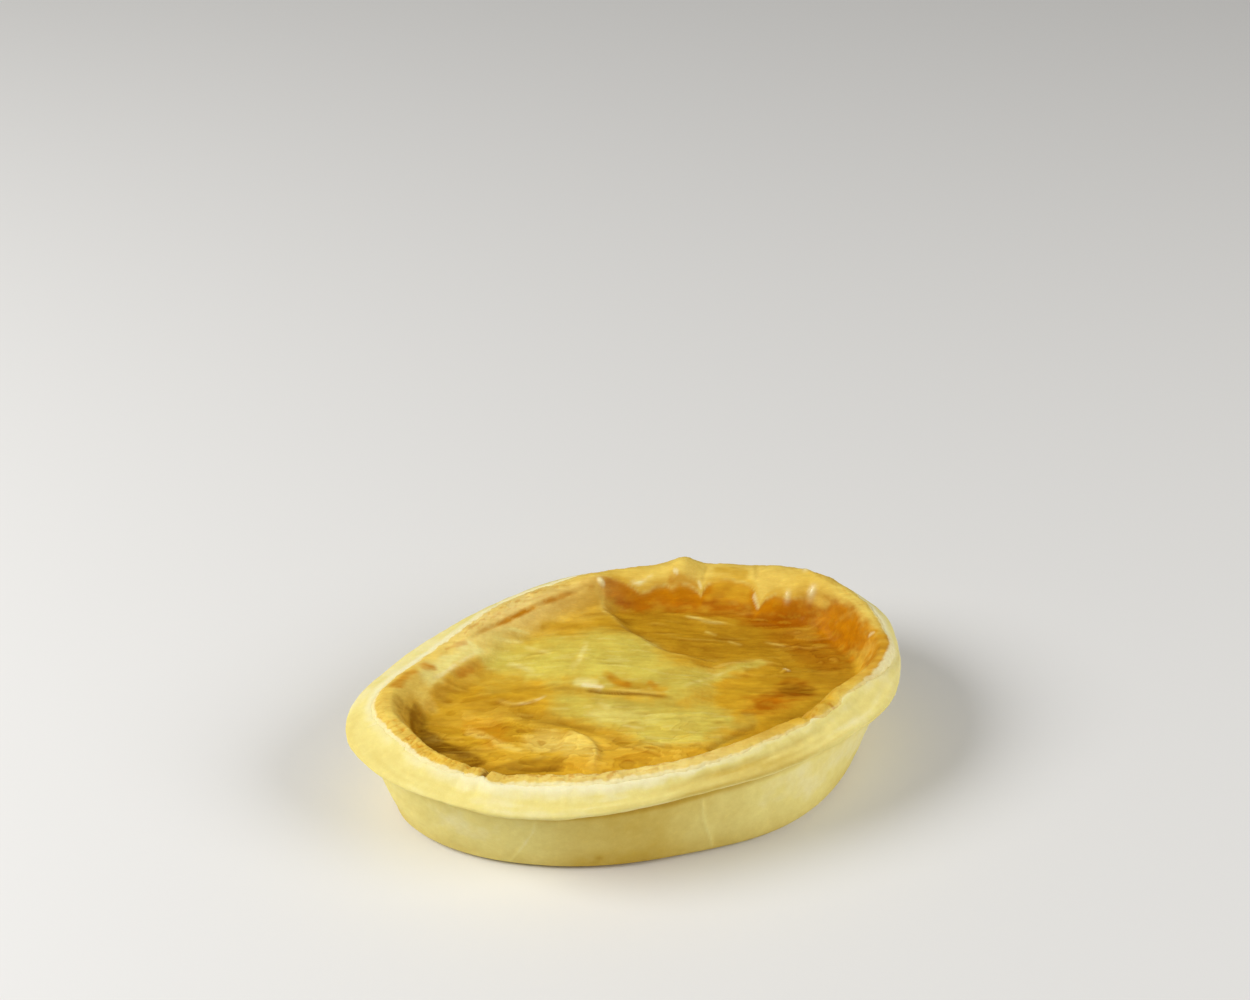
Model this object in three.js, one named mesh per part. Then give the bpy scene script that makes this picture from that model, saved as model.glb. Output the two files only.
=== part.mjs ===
// An oval mince pie: a pale shortcrust case with a turned-out collar, and a puff pastry lid that sank in the oven.
// Millimetres, +Z up. X runs along the pie's length, and the origin is on the table under the middle of the pie.
import * as THREE from "three";
import { mergeVertices } from "three/addons/utils/BufferGeometryUtils.js";

// Driving dimensions of the case. An inset is measured inwards from the collar's plain oval.
const HALF_LENGTH = 63.4;
const HALF_WIDTH = 41;
const RIM_HEIGHT = 23.6;
const COLLAR_WIDTH = 7;
const COLLAR_DROOP = 1.4;
const COLLAR_FOOT_HEIGHT = 20;
const COLLAR_OVERHANG = 3.6;
const WALL_FOOT_INSET = 7.4;
const WALL_BOW = 0.6;
const FOOT_RADIUS = 2.6;

// Driving dimensions of the lid. The crest is the roll that it makes over the rim before it dips.
const LID_THICKNESS = 2.4;
const LID_EDGE_THICKNESS = 1.2;
const LID_EDGE_INSET = 6.6;
const LID_CREST_LIFT = 2.2;
const LID_CREST_SHARE = 0.75;
const FLOOR_HEIGHT = 18.4;
const SLOPE_START = 2.4;
const SLOPE_WIDTH = 5.6;
const SEAM_GAP = 0.3;
const BED_GAP = 0.6;

// Facets. The underside of the lid and the top of the case have the same rows.
const SEGMENTS = 96;
const UNDER_LID_ROWS = 11;
const UNDER_LID_CROWDING = 1.5;
const LID_TOP_ROWS = 28;
const LID_TOP_CROWDING = 1.35;
const MERGE_DISTANCE = 1e-4;

// Where the oval stops being an even inset and shrinks towards its middle instead.
const EVEN_INSET = 20;

// Rows of the case's outside, from the middle of the underside up to the lid's edge.
const UNDERSIDE_INSETS = [HALF_LENGTH, 44, 26];
const FOOT_ANGLES = [0, 35, 70];
const WALL_SHARES = [0.3, 0.55, 0.78, 0.94, 1];
const WALL_FLARE = 0.5;
const TUCK_POWER = 4;
const LIP_ROWS = [
  { inset: 1.2, lift: 0.3, flare: 0.9 },
  { inset: 0.2, lift: 1, flare: 1 },
  { inset: 0, lift: 1.7, flare: 1 },
];
const COLLAR_TOP_SHARES = [0.16, 0.5, 1];
const DROOP_POWER = 1.6;

// Each swelling of the outline or the rim: the turn it is centred on, its size and its half spread in degrees.
const COLLAR_FLARES = [
  { at: 168, size: 3.4, spread: 20 },
  { at: 324, size: 1.9, spread: 16 },
  { at: 18, size: 1.3, spread: 26 },
  { at: 92, size: 1.1, spread: 14 },
  { at: 270, size: -2.4, spread: 22 },
  { at: 214, size: -1.1, spread: 16 },
];
const FOOT_SWELLS = [
  { at: 292, size: 4.6, spread: 22 },
  { at: 318, size: 1.4, spread: 18 },
  { at: 255, size: 1.3, spread: 20 },
  { at: 178, size: 1.2, spread: 16 },
];
const COLLAR_FADES = [
  { at: 318, size: 0.6, spread: 24 },
  { at: 40, size: 0.35, spread: 30 },
];
const RIM_RISES = [
  { at: 64.5, size: 2, spread: 4 },
  { at: 58, size: -1.3, spread: 16 },
  { at: 48, size: -0.3, spread: 8 },
  { at: 89, size: 0.5, spread: 7 },
  { at: 358, size: 0.8, spread: 8 },
  { at: 29, size: 0.6, spread: 8 },
  { at: 338, size: 0.7, spread: 9 },
  { at: 214, size: -0.6, spread: 6 },
  { at: 135, size: -0.5, spread: 16 },
];
const EDGE_FLAPS = [
  { at: 68, size: -4.6, spread: 30 },
  { at: 42, size: -1.2, spread: 20 },
  { at: 16, size: -5, spread: 30 },
  { at: 163, size: -4, spread: 15 },
  { at: 337, size: -4.6, spread: 14 },
  { at: 306, size: -1.3, spread: 7 },
  { at: 215, size: 0.8, spread: 7 },
];
const SLOPE_STARTS = [
  { at: 180, size: 1.5, spread: 26 },
  { at: 42, size: 2.1, spread: 40 },
];
const SLOPE_SPREADS = [
  { at: 138, size: 6.5, spread: 28 },
  { at: 184, size: -2.4, spread: 18 },
  { at: 40, size: 4.4, spread: 38 },
];

// Pleats where the lid climbs the back of the rim, as swellings that run down the slope.
const PLEATS = [
  { at: 87, size: 1, spread: 4 },
  { at: 75, size: 0.3, spread: 3.6 },
  { at: 65, size: 0.8, spread: 3.2 },
  { at: 60, size: -0.5, spread: 2.4 },
  { at: 52, size: 0.5, spread: 4 },
  { at: 41, size: 0.8, spread: 3.6 },
  { at: 22, size: 0.7, spread: 4 },
];
const PLEAT_INSET = 4.6;
const PLEAT_REACH = 3;

// Folds across the floor of the lid. Each stands along a short path of points: "steep" is how far it takes to fall on
// its steep side, "gentle" on the other, and "steepOn" is 1 where the steep side is on the left as the path runs.
const FOLDS = [
  // The edge of the raised dome, down from the back of the rim.
  { path: [[2, 36], [3.5, 23], [6, 15], [12, 7.5], [22, 2.5]], rise: 2.3, gentle: 17, steep: 2.6, steepOn: 1 },
  // The fold across the middle, which drops towards the near side.
  { path: [[-21, 7.3], [-11.8, 3.9], [-6.2, 1.2], [0.3, -2.6], [14, -9]], rise: 1.3, gentle: 9, steep: 1.6, steepOn: -1 },
  // The low ridge on the right.
  { path: [[9, -7], [18, -3.5], [27, -0.5], [37, 0]], rise: 0.9, gentle: 5, steep: 3, steepOn: -1 },
  // The ledge round the left end.
  { path: [[-51, 8], [-44, 13.6], [-37.5, 17.4], [-26, 21.4]], rise: 1.8, gentle: 5, steep: 1.8, steepOn: -1 },
  // The edge of the blister near the left end.
  { path: [[-22, -5], [-17.5, -9.2], [-15, -13.3], [-18.4, -21]], rise: 1.2, gentle: 9, steep: 1.8, steepOn: 1 },
];
const FOLD_FADE = 0.2;

// Broad swells and wells of the floor: middle, half lengths along X and Y, and height.
const SWELLS = [
  { x: -14, y: 17, reach: [26, 15], size: 3.4 },
  { x: 40, y: 8, reach: [18, 14], size: -1.1 },
  { x: -42, y: 2, reach: [11, 13], size: -1.2 },
  { x: 20, y: -14, reach: [20, 9], size: 0.5 },
];

// Long ripples of the puff pastry's layers, which run at an angle to the pie's length.
const RIPPLE_TURN = THREE.MathUtils.degToRad(-20);
const RIPPLE_LENGTH = 9;
const RIPPLE_HEIGHT = 0.22;
const RIPPLE_BEND = 2;
const RIPPLE_BEND_LENGTH = 11;

const FULL_TURN = 2 * Math.PI;
const smooth = THREE.MathUtils.smoothstep;
const mix = THREE.MathUtils.lerp;

// A swelling's height at a distance, in the same units as its spread.
function bump(distance, spread) {
  return Math.exp(-((distance / spread) ** 2));
}

// The sum of a list of swellings at one turn of the oval.
function swell(list, turn) {
  const degrees = THREE.MathUtils.radToDeg(turn);
  let total = 0;
  for (const { at, size, spread } of list) {
    const away = THREE.MathUtils.euclideanModulo(degrees - at + 180, 360) - 180;
    total += size * bump(away, spread);
  }
  return total;
}

// A point of the oval at one turn and inset. Far inside, the oval shrinks evenly to its middle.
function ovalPoint(turn, inset) {
  const even = Math.min(inset, EVEN_INSET);
  const shrink = 1 - Math.max(inset - EVEN_INSET, 0) / (HALF_LENGTH - EVEN_INSET);
  const x = (HALF_LENGTH - even) * shrink * Math.cos(turn);
  const y = (HALF_WIDTH - even) * shrink * Math.sin(turn);
  return new THREE.Vector2(x, y);
}

// The top of the collar, which slopes down to its outer edge.
function collarTop(turn, inset) {
  const outward = Math.max(1 - inset / COLLAR_WIDTH, 0);
  return RIM_HEIGHT + swell(RIM_RISES, turn) - COLLAR_DROOP * outward ** DROOP_POWER;
}

// How far inside the collar's oval the lid is cut. At the back and in its flaps it reaches nearly to the outside.
function lidEdgeInset(turn) {
  return LID_EDGE_INSET + swell(EDGE_FLAPS, turn);
}

// The shortest distance from a point to a fold's path, how far along it lies, and its side: 1 left, -1 right.
function besidePath(x, y, path) {
  let best = { distance: Infinity, side: 1, along: 0 };
  for (let i = 0; i + 1 < path.length; i++) {
    const [ax, ay] = path[i];
    const [dx, dy] = [path[i + 1][0] - ax, path[i + 1][1] - ay];
    const share = THREE.MathUtils.clamp(((x - ax) * dx + (y - ay) * dy) / (dx * dx + dy * dy), 0, 1);
    const [px, py] = [x - ax - share * dx, y - ay - share * dy];
    const distance = Math.hypot(px, py);
    if (distance < best.distance) {
      best = { distance, side: Math.sign(dx * py - dy * px) || 1, along: (i + share) / (path.length - 1) };
    }
  }
  return best;
}

// One fold: a crest along its path that fades out at both ends.
function foldHeight(x, y, { path, rise, gentle, steep, steepOn }) {
  const { distance, side, along } = besidePath(x, y, path);
  const fade = smooth(along, 0, FOLD_FADE) * smooth(1 - along, 0, FOLD_FADE);
  return rise * fade * bump(distance, side === steepOn ? steep : gentle);
}

// The bed that the lid sank onto: the broad swells and wells.
function bedHeight(x, y) {
  let height = FLOOR_HEIGHT;
  for (const { x: middleX, y: middleY, reach, size } of SWELLS) {
    height += size * bump(Math.hypot((x - middleX) / reach[0], (y - middleY) / reach[1]), 1);
  }
  return height;
}

// What stands on the bed: the folds, and the ripples of the pastry's layers.
function creaseHeight(x, y) {
  const across = x * Math.sin(RIPPLE_TURN) - y * Math.cos(RIPPLE_TURN);
  const along = x * Math.cos(RIPPLE_TURN) + y * Math.sin(RIPPLE_TURN);
  const wave = (across + RIPPLE_BEND * Math.sin(along / RIPPLE_BEND_LENGTH)) / RIPPLE_LENGTH;
  let height = RIPPLE_HEIGHT * Math.sin(FULL_TURN * wave);
  for (const fold of FOLDS) {
    height += foldHeight(x, y, fold);
  }
  return height;
}

// A point of the lid without its folds: over the collar, down the slope and across the bed. Reach runs from 0 at the
// cut edge to 1 at the middle of the lid.
function lidSheetPoint(turn, reach) {
  const edge = lidEdgeInset(turn);
  const inset = mix(edge, HALF_LENGTH, reach);
  const inside = inset - edge;
  const { x, y } = ovalPoint(turn, inset);
  const crest = RIM_HEIGHT + LID_CREST_LIFT + swell(RIM_RISES, turn);
  const edgeTop = collarTop(turn, edge) + SEAM_GAP + LID_EDGE_THICKNESS;
  const start = SLOPE_START + swell(SLOPE_STARTS, turn);
  const climb = THREE.MathUtils.clamp(inside / (LID_CREST_SHARE * start), 0, 1);
  const rim = mix(edgeTop, crest, 1 - (1 - climb) ** 2);
  const slope = SLOPE_WIDTH + swell(SLOPE_SPREADS, turn);
  const down = smooth(inside, start, start + slope);
  return { point: new THREE.Vector3(x, y, mix(rim, bedHeight(x, y), down)), inside, down };
}

function lidTopPoint(turn, reach) {
  const { point, inside, down } = lidSheetPoint(turn, reach);
  point.z += down * creaseHeight(point.x, point.y);
  point.z += swell(PLEATS, turn) * bump(inside - PLEAT_INSET, PLEAT_REACH);
  return point;
}

// The lid's underside is smooth.
function lidUnderPoint(turn, reach) {
  const { point, inside } = lidSheetPoint(turn, reach);
  point.z -= mix(LID_EDGE_THICKNESS, LID_THICKNESS, smooth(inside, 0, SLOPE_START));
  return point;
}

// The top of the case follows the lid's underside, at the seam's gap by the edge and at the bed's farther in.
function bedPoint(turn, reach) {
  const point = lidUnderPoint(turn, reach);
  const { inside } = lidSheetPoint(turn, reach);
  point.z -= mix(SEAM_GAP, BED_GAP, smooth(inside, 0, SLOPE_START));
  return point;
}

// A row of the case's outside: an inset and height of the plain profile, and how much of the collar's flare and of the
// foot's swell it takes. Where the collar fades into the wall, the row moves out by a share of its tuck.
function outsideRow({ inset, height, flare = 0, foot = 0, tuck = 0 }) {
  return (turn) => {
    const out = flare * swell(COLLAR_FLARES, turn) + foot * swell(FOOT_SWELLS, turn);
    const { x, y } = ovalPoint(turn, inset - tuck * swell(COLLAR_FADES, turn) - out);
    return new THREE.Vector3(x, y, height);
  };
}

// A row of the collar's top, at a share of the way from its outer edge to the lid's edge.
function collarRow(share) {
  return (turn) => {
    const inset = lidEdgeInset(turn) * share;
    const { x, y } = ovalPoint(turn, inset - (1 - share) * swell(COLLAR_FLARES, turn));
    return new THREE.Vector3(x, y, collarTop(turn, inset));
  };
}

// Merges the seam and the poles of a spun mesh and drops the triangles that have closed up there.
function closedMesh(geometry) {
  geometry.deleteAttribute("normal");
  geometry.deleteAttribute("uv");
  const merged = mergeVertices(geometry, MERGE_DISTANCE);
  const corners = merged.index.array;
  const kept = [];
  for (let i = 0; i < corners.length; i += 3) {
    const [a, b, c] = corners.slice(i, i + 3);
    if (a !== b && b !== c && c !== a) {
      kept.push(a, b, c);
    }
  }
  merged.setIndex(kept);
  merged.computeVertexNormals();
  return merged;
}

// Spins rows of points round the oval into one closed mesh. Each row gives its point for a turn.
function spinRows(rows) {
  const profile = rows.map((row, index) => new THREE.Vector2(1, index));
  const geometry = new THREE.LatheGeometry(profile, SEGMENTS);
  const position = geometry.getAttribute("position");
  for (let i = 0; i < position.count; i++) {
    const step = Math.floor(i / rows.length) % SEGMENTS;
    const { x, y, z } = rows[i % rows.length]((FULL_TURN * step) / SEGMENTS);
    position.setXYZ(i, x, y, z);
  }
  return closedMesh(geometry);
}

// Shares from 0 to 1 that crowd together at the start, where the lid bends most.
function crowdedShares(count, power) {
  return Array.from({ length: count }, (_, index) => (index / (count - 1)) ** power);
}

function caseGeometry() {
  const rows = UNDERSIDE_INSETS.map((inset) => outsideRow({ inset, height: 0 }));
  // The rounded foot.
  for (const degrees of FOOT_ANGLES) {
    const angle = THREE.MathUtils.degToRad(degrees);
    const inset = WALL_FOOT_INSET + FOOT_RADIUS * (1 - Math.sin(angle));
    rows.push(outsideRow({ inset, height: FOOT_RADIUS * (1 - Math.cos(angle)), foot: 1 }));
  }
  // The tapered wall.
  for (const share of WALL_SHARES) {
    const inset = mix(WALL_FOOT_INSET, COLLAR_OVERHANG, share) - WALL_BOW * Math.sin(Math.PI * share);
    const height = mix(FOOT_RADIUS, COLLAR_FOOT_HEIGHT, share);
    const tuck = COLLAR_OVERHANG * share ** TUCK_POWER;
    rows.push(outsideRow({ inset, height, flare: WALL_FLARE * share, foot: 1 - share, tuck }));
  }
  // The collar's lip and its top.
  for (const { inset, lift, flare } of LIP_ROWS) {
    rows.push(outsideRow({ inset, height: COLLAR_FOOT_HEIGHT + lift, flare, tuck: inset }));
  }
  rows.push(...COLLAR_TOP_SHARES.map(collarRow));
  // The top of the case, hidden under the lid.
  for (const reach of crowdedShares(UNDER_LID_ROWS, UNDER_LID_CROWDING).slice(1)) {
    rows.push((turn) => bedPoint(turn, reach));
  }
  return spinRows(rows);
}

function lidGeometry() {
  const rows = [];
  for (const reach of crowdedShares(UNDER_LID_ROWS, UNDER_LID_CROWDING).reverse()) {
    rows.push((turn) => lidUnderPoint(turn, reach));
  }
  for (const reach of crowdedShares(LID_TOP_ROWS, LID_TOP_CROWDING)) {
    rows.push((turn) => lidTopPoint(turn, reach));
  }
  return spinRows(rows);
}

function pastryMesh(name, geometry, { color, roughness }) {
  const material = new THREE.MeshStandardMaterial({ color, roughness, metalness: 0 });
  const mesh = new THREE.Mesh(geometry, material);
  mesh.name = name;
  return mesh;
}

const pie = new THREE.Group();
pie.name = "mince_pie";
pie.add(pastryMesh("pastry_case", caseGeometry(), { color: 0xe8d894, roughness: 0.62 }));
pie.add(pastryMesh("pastry_lid", lidGeometry(), { color: 0xc8952c, roughness: 0.42 }));

// The swellings are uneven, so the finished pie is moved until the middle of its outline is over the origin.
const middle = new THREE.Box3().setFromObject(pie).getCenter(new THREE.Vector3());
pie.position.set(-middle.x, -middle.y, 0);

export default new THREE.Group().add(pie);
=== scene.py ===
# %% [markdown]
# An oval mince pie. The real one is two pieces of pastry: a case of pale shortcrust, turned out at the
# top into a soft collar, and a puff pastry lid, washed with egg, that sank in the oven and browned in
# patches. The measured solids already hold the size and the main shape of both pieces. The lesson
# starts by loading them, because every surface that is made here has to stay where they are.

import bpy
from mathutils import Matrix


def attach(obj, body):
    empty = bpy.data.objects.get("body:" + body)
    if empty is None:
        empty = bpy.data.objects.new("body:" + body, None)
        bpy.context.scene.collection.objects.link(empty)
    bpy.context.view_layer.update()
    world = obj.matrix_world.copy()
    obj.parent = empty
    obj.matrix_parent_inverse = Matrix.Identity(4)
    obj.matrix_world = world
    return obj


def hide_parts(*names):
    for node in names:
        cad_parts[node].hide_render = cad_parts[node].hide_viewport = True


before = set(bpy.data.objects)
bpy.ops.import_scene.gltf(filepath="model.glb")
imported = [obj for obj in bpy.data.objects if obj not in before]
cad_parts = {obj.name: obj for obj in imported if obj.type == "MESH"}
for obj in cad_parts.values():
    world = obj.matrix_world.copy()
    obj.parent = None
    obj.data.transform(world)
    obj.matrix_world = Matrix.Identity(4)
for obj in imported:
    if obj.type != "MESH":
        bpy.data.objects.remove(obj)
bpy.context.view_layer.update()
print("measured pieces:", ", ".join(sorted(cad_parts)))

# %% [markdown]
# Besides Blender's own modules the lesson needs only numpy, for its arrays. Sizes are written in
# millimetres, as on a drawing, and turned into Blender's metres at the end. The plain view transform
# shows a tone as it was chosen.

# %% Modules
import math

import bmesh
import bpy
import numpy as np
from mathutils import Matrix, Vector, noise

MM = 0.001
FULL_TURN = 2 * math.pi
bpy.context.scene.view_settings.view_transform = "Standard"
print("Blender", bpy.app.version_string)

# %% [markdown]
# Pastry is uneven, but not in every way at once: a plain oval, a few swellings here and there, and a
# fine grain on top. It could be sculpted by hand, but then nobody could read how. A handful of formulas
# can say the same thing: a soft step, a rounded bump, a sum of swellings round the oval, and noise of a
# chosen size. They work on whole arrays of points, so a hundred thousand vertices take no longer than a
# breath.

# %% Formulas for soft shapes
def mix(first, second, share):
    return first + (second - first) * share


def smooth(value, low, high):
    share = np.clip((value - low) / (high - low), 0, 1)
    return share * share * (3 - 2 * share)


def bump(distance, spread):
    return np.exp(-((distance / spread) ** 2))


def swell(swellings, turn):
    """The sum of swellings (centre in degrees, size, half spread in degrees) at each turn of the oval."""
    degrees = np.degrees(turn)
    total = np.zeros_like(degrees)
    for centre, size, spread in swellings:
        away = (degrees - centre + 180) % 360 - 180
        total += size * bump(away, spread)
    return total


def fade_ends(along, share):
    """1 along the middle of a path, falling to 0 over a share of its length at either end."""
    return smooth(along, 0, share) * smooth(1 - along, 0, share)


print("halfway up a soft step:", smooth(0.5, 0, 1))

# %% Noise and smooth curves
SEED_STEP = 37.7
GRAIN_FALL, GRAIN_STEP = 1.0, 2.0


def grain(points, size, seed, octaves=3):
    """Noise of about -1 to 1 at each point, in blobs of one size, or of three sizes along x, y and z."""
    spots = points / np.asarray(size, float) + seed * SEED_STEP
    return np.array([noise.fractal(spot, GRAIN_FALL, GRAIN_STEP, octaves) for spot in spots.tolist()])


def layered_grain(points, layers):
    """The sum of several noises, each with its height, the size of its blobs and its seed."""
    return sum(height * grain(points, size, seed) for height, size, seed in layers)


def through(rings, positions):
    """A smooth curve through control points or rings, read at positions counted in rings."""
    rings = np.asarray(rings, float)
    last = len(rings) - 1
    start = np.clip(np.floor(positions).astype(int), 0, last - 1)
    share = (positions - start).reshape((-1,) + (1,) * (rings.ndim - 1))
    before, here = rings[np.maximum(start - 1, 0)], rings[start]
    there, after = rings[start + 1], rings[np.minimum(start + 2, last)]
    straight = (there - before) * share
    bend = (2 * before - 5 * here + 4 * there - after) * share**2
    turn_back = (3 * here - before - 3 * there + after) * share**3
    return here + 0.5 * (straight + bend + turn_back)


print("a curve over 0, 1 and 0, a quarter of the way:", through([0, 1, 0], np.array([0.5])).round(3))

# %% [markdown]
# The plan of the pie is an oval, and everything on it is placed by two numbers: the turn round the
# oval, and the inset from the collar's plain edge. Near the edge an inset keeps its distance, as a
# finger that follows the rim does. Far inside, that would leave a sharp line in the middle, so there
# the oval shrinks to a point instead. A few swellings make the collar flare at the left end and fade
# into the wall at the right.

# %% Plan of the pie, in millimetres
HALF_LENGTH = 63.4
HALF_WIDTH = 41
EVEN_INSET = 20
RIM_HEIGHT = 23.6
OUTLINE_STEPS = 1440
# Each swelling: its turn in degrees, its size and its half spread in degrees.
COLLAR_FLARES = [
    (168, 3.4, 20), (324, 1.9, 16), (18, 1.3, 26), (92, 1.1, 14), (270, -2.4, 22), (214, -1.1, 16),
]
RIM_RISES = [
    (64.5, 2, 4), (58, -1.3, 16), (48, -0.3, 8), (89, 0.5, 7), (358, 0.8, 8),
    (29, 0.6, 8), (338, 0.7, 9), (214, -0.6, 6), (135, -0.5, 16),
]


def oval_point(turn, inset):
    even = np.minimum(inset, EVEN_INSET)
    shrink = 1 - np.maximum(inset - EVEN_INSET, 0) / (HALF_LENGTH - EVEN_INSET)
    return (HALF_LENGTH - even) * shrink * np.cos(turn), (HALF_WIDTH - even) * shrink * np.sin(turn)


outline_turns = np.linspace(0, FULL_TURN, OUTLINE_STEPS)
outline = np.stack(oval_point(outline_turns, -swell(COLLAR_FLARES, outline_turns)), axis=-1)
PLAN_MIDDLE = (outline.min(axis=0) + outline.max(axis=0)) / 2
print("middle of the plan:", PLAN_MIDDLE.round(2))

# %% [markdown]
# The collar is the band of shortcrust that was folded out over the tin's edge. Its top slopes down to
# the outside and ends where the lid was laid on it. The lid's cut edge wanders, in a few flaps it
# reaches far out, and it is nicked where the dough broke, so its inset is worked out here, once, for
# both pieces. Where the two doughs were pressed together, the collar swells up to the cut.

# %% Collar top and lid edge
COLLAR_WIDTH = 7
COLLAR_DROOP = 1.4
DROOP_POWER = 1.6
LID_EDGE_INSET = 6.6
EDGE_FLAPS = [
    (68, -4.6, 30), (42, -1.2, 20), (16, -5, 30), (163, -4, 15), (337, -4.6, 14),
    (306, -1.3, 7), (215, 0.8, 7), (106, -2.6, 18),
]
NICKS = [(219.3, 1, 1.2), (303, 0.9, 1.2), (312, -0.5, 2), (224.5, -0.6, 3), (213, 0.5, 1)]
# Each wander of the cut: how far it goes, its size and its seed.
EDGE_WANDERS = [(0.35, 5, 1), (0.22, 1.6, 2)]
OPEN_CUTS = [(336, 0.6, 9)]
SEAL_HEIGHT = 1.52
SEAL_WIDTH = 4
LEAST_EDGE = 0.4


def collar_top(turn, inset):
    outward = np.maximum(1 - inset / COLLAR_WIDTH, 0)
    return RIM_HEIGHT + swell(RIM_RISES, turn) - COLLAR_DROOP * outward**DROOP_POWER


def round_the_rim(turn):
    """A closed path for noise, so that a wander round the rim meets itself without a seam."""
    return np.stack([HALF_LENGTH * np.cos(turn), HALF_WIDTH * np.sin(turn), np.zeros_like(turn)], axis=-1)


rim_path = round_the_rim(outline_turns)
rim_wander = layered_grain(rim_path, EDGE_WANDERS) + swell(NICKS, outline_turns)


def plain_edge(turn):
    return LID_EDGE_INSET + swell(EDGE_FLAPS, turn)


def ragged(turn):
    return np.interp(turn % FULL_TURN, outline_turns, rim_wander)


def cut_edge(turn):
    return np.maximum(plain_edge(turn) + ragged(turn), LEAST_EDGE)


def sealed_collar_top(turn, inset, edge):
    seal = (1 - swell(OPEN_CUTS, turn)) * smooth(inset, np.maximum(edge - SEAL_WIDTH, 0), edge)
    return collar_top(turn, inset) + SEAL_HEIGHT * seal


print("lid edge at the near side:", cut_edge(np.array([1.5 * math.pi])).round(2), "mm in")

# %% [markdown]
# The case is a turned shape, like a bowl: one profile goes up from the middle of the underside, round
# the foot, up the leaning wall, out under the lip and back over the collar to the lid. It could be
# lofted ring by ring, but a spin does that in one operator. The profile is written as control rings,
# each with its own inset and height and its share of the local swellings, and a smooth curve through
# them gives the fine rows.

# %% Control rings of the case
FOOT_RADIUS = 2.6
WALL_FOOT_INSET = 7.4
WALL_BOW = 0.6
WALL_FLARE = 0.5
COLLAR_OVERHANG = 3.6
COLLAR_FOOT_HEIGHT = 20
TUCK_POWER = 4
FOOT_SWELLS = [(292, 4.6, 22), (318, 1.4, 18), (255, 1.3, 20), (178, 1.2, 16)]
COLLAR_FADES = [(318, 0.6, 24), (40, 0.35, 30)]
UNDERSIDE_INSETS = [HALF_LENGTH, 44, 26, 16, 12.5]
FOOT_ANGLES = [0, 30, 60, 90]
WALL_SHARES = [0.15, 0.3, 0.45, 0.6, 0.75, 0.88, 0.96, 1]
# Each row of the lip: its inset, its lift over the collar's foot and its share of the flare.
LIP_ROWS = [(1.2, 0.3, 0.9), (0.2, 1, 1), (0, 1.7, 1)]
COLLAR_TOP_SHARES = [0.16, 0.38, 0.62, 0.86, 1]
# Each row of the hidden seat: how far inside the cut edge, its least inset, and its drop.
SEAT_ROWS = [
    (0.35, 0, 0.05), (0.9, 0, 2.8), (2.2, 6, 5), (4, 10, 9.5), (7, 13, 13),
    (22, 22, 13.5), (HALF_LENGTH, 0, 13.5),
]


def outside_ring(turn, inset, height, flare=0.0, foot=0.0, tuck=0.0):
    out = flare * swell(COLLAR_FLARES, turn) + foot * swell(FOOT_SWELLS, turn)
    x, y = oval_point(turn, inset - tuck * swell(COLLAR_FADES, turn) - out)
    return np.stack([x, y, np.full_like(x, height)], axis=-1)


def collar_ring(turn, share, edge):
    inset = edge * share
    x, y = oval_point(turn, inset - (1 - share) * swell(COLLAR_FLARES, turn))
    return np.stack([x, y, sealed_collar_top(turn, inset, edge)], axis=-1)


def case_rings(turn):
    edge = cut_edge(turn)
    rings = [outside_ring(turn, inset, 0) for inset in UNDERSIDE_INSETS]
    for angle in np.radians(FOOT_ANGLES):
        inset = WALL_FOOT_INSET + FOOT_RADIUS * (1 - math.sin(angle))
        rings.append(outside_ring(turn, inset, FOOT_RADIUS * (1 - math.cos(angle)), foot=1))
    for share in WALL_SHARES:
        inset = mix(WALL_FOOT_INSET, COLLAR_OVERHANG, share) - WALL_BOW * math.sin(math.pi * share)
        height = mix(FOOT_RADIUS, COLLAR_FOOT_HEIGHT, share)
        tuck = COLLAR_OVERHANG * share**TUCK_POWER
        rings.append(outside_ring(turn, inset, height, WALL_FLARE * share, 1 - share, tuck))
    for inset, lift, flare in LIP_ROWS:
        rings.append(outside_ring(turn, inset, COLLAR_FOOT_HEIGHT + lift, flare, tuck=inset))
    rings.extend(collar_ring(turn, share, edge) for share in COLLAR_TOP_SHARES)
    for inside, least_inset, drop in SEAT_ROWS:
        x, y = oval_point(turn, np.clip(edge + inside, least_inset, HALF_LENGTH))
        rings.append(np.stack([x, y, sealed_collar_top(turn, edge, edge) - drop], axis=-1))
    return np.array(rings)


print("control rings of the case:", len(case_rings(np.zeros(1))))

# %% [markdown]
# Rows that show are set about 0.4 mm apart, close enough to carry a crease, and the hidden underside
# and seat have only a few. The profile is a column of vertices at radius 1, and its height simply
# counts the rows. After the spin every vertex still tells its row and its turn, and can be moved to the
# place that the rings give it.

# %% Spin the case
CASE_TURNS = 720
ROW_SPACING = 0.42
HIDDEN_SPACING = 5
FIRST_SHOWN_RING = len(UNDERSIDE_INSETS) - 1
LAST_SHOWN_RING = FIRST_SHOWN_RING + len(FOOT_ANGLES + WALL_SHARES + LIP_ROWS + COLLAR_TOP_SHARES) + 1
MERGE_DISTANCE = 1e-7


def row_positions(rings):
    positions = [0.0]
    for index in range(len(rings) - 1):
        gap = np.linalg.norm(rings[index + 1] - rings[index], axis=-1).mean()
        shown = FIRST_SHOWN_RING <= index < LAST_SHOWN_RING
        steps = max(1, round(gap / (ROW_SPACING if shown else HIDDEN_SPACING)))
        positions.extend(index + (step + 1) / steps for step in range(steps))
    return np.array(positions)


def spin_column(rows, steps):
    shell = bmesh.new()
    column = [shell.verts.new((1, 0, row)) for row in range(rows)]
    for low, high in zip(column, column[1:]):
        shell.edges.new((low, high))
    profile = shell.verts[:] + shell.edges[:]
    bmesh.ops.spin(
        shell, geom=profile, cent=(0, 0, 0), axis=(0, 0, 1), angle=FULL_TURN, steps=steps, use_merge=True
    )
    return shell


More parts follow.
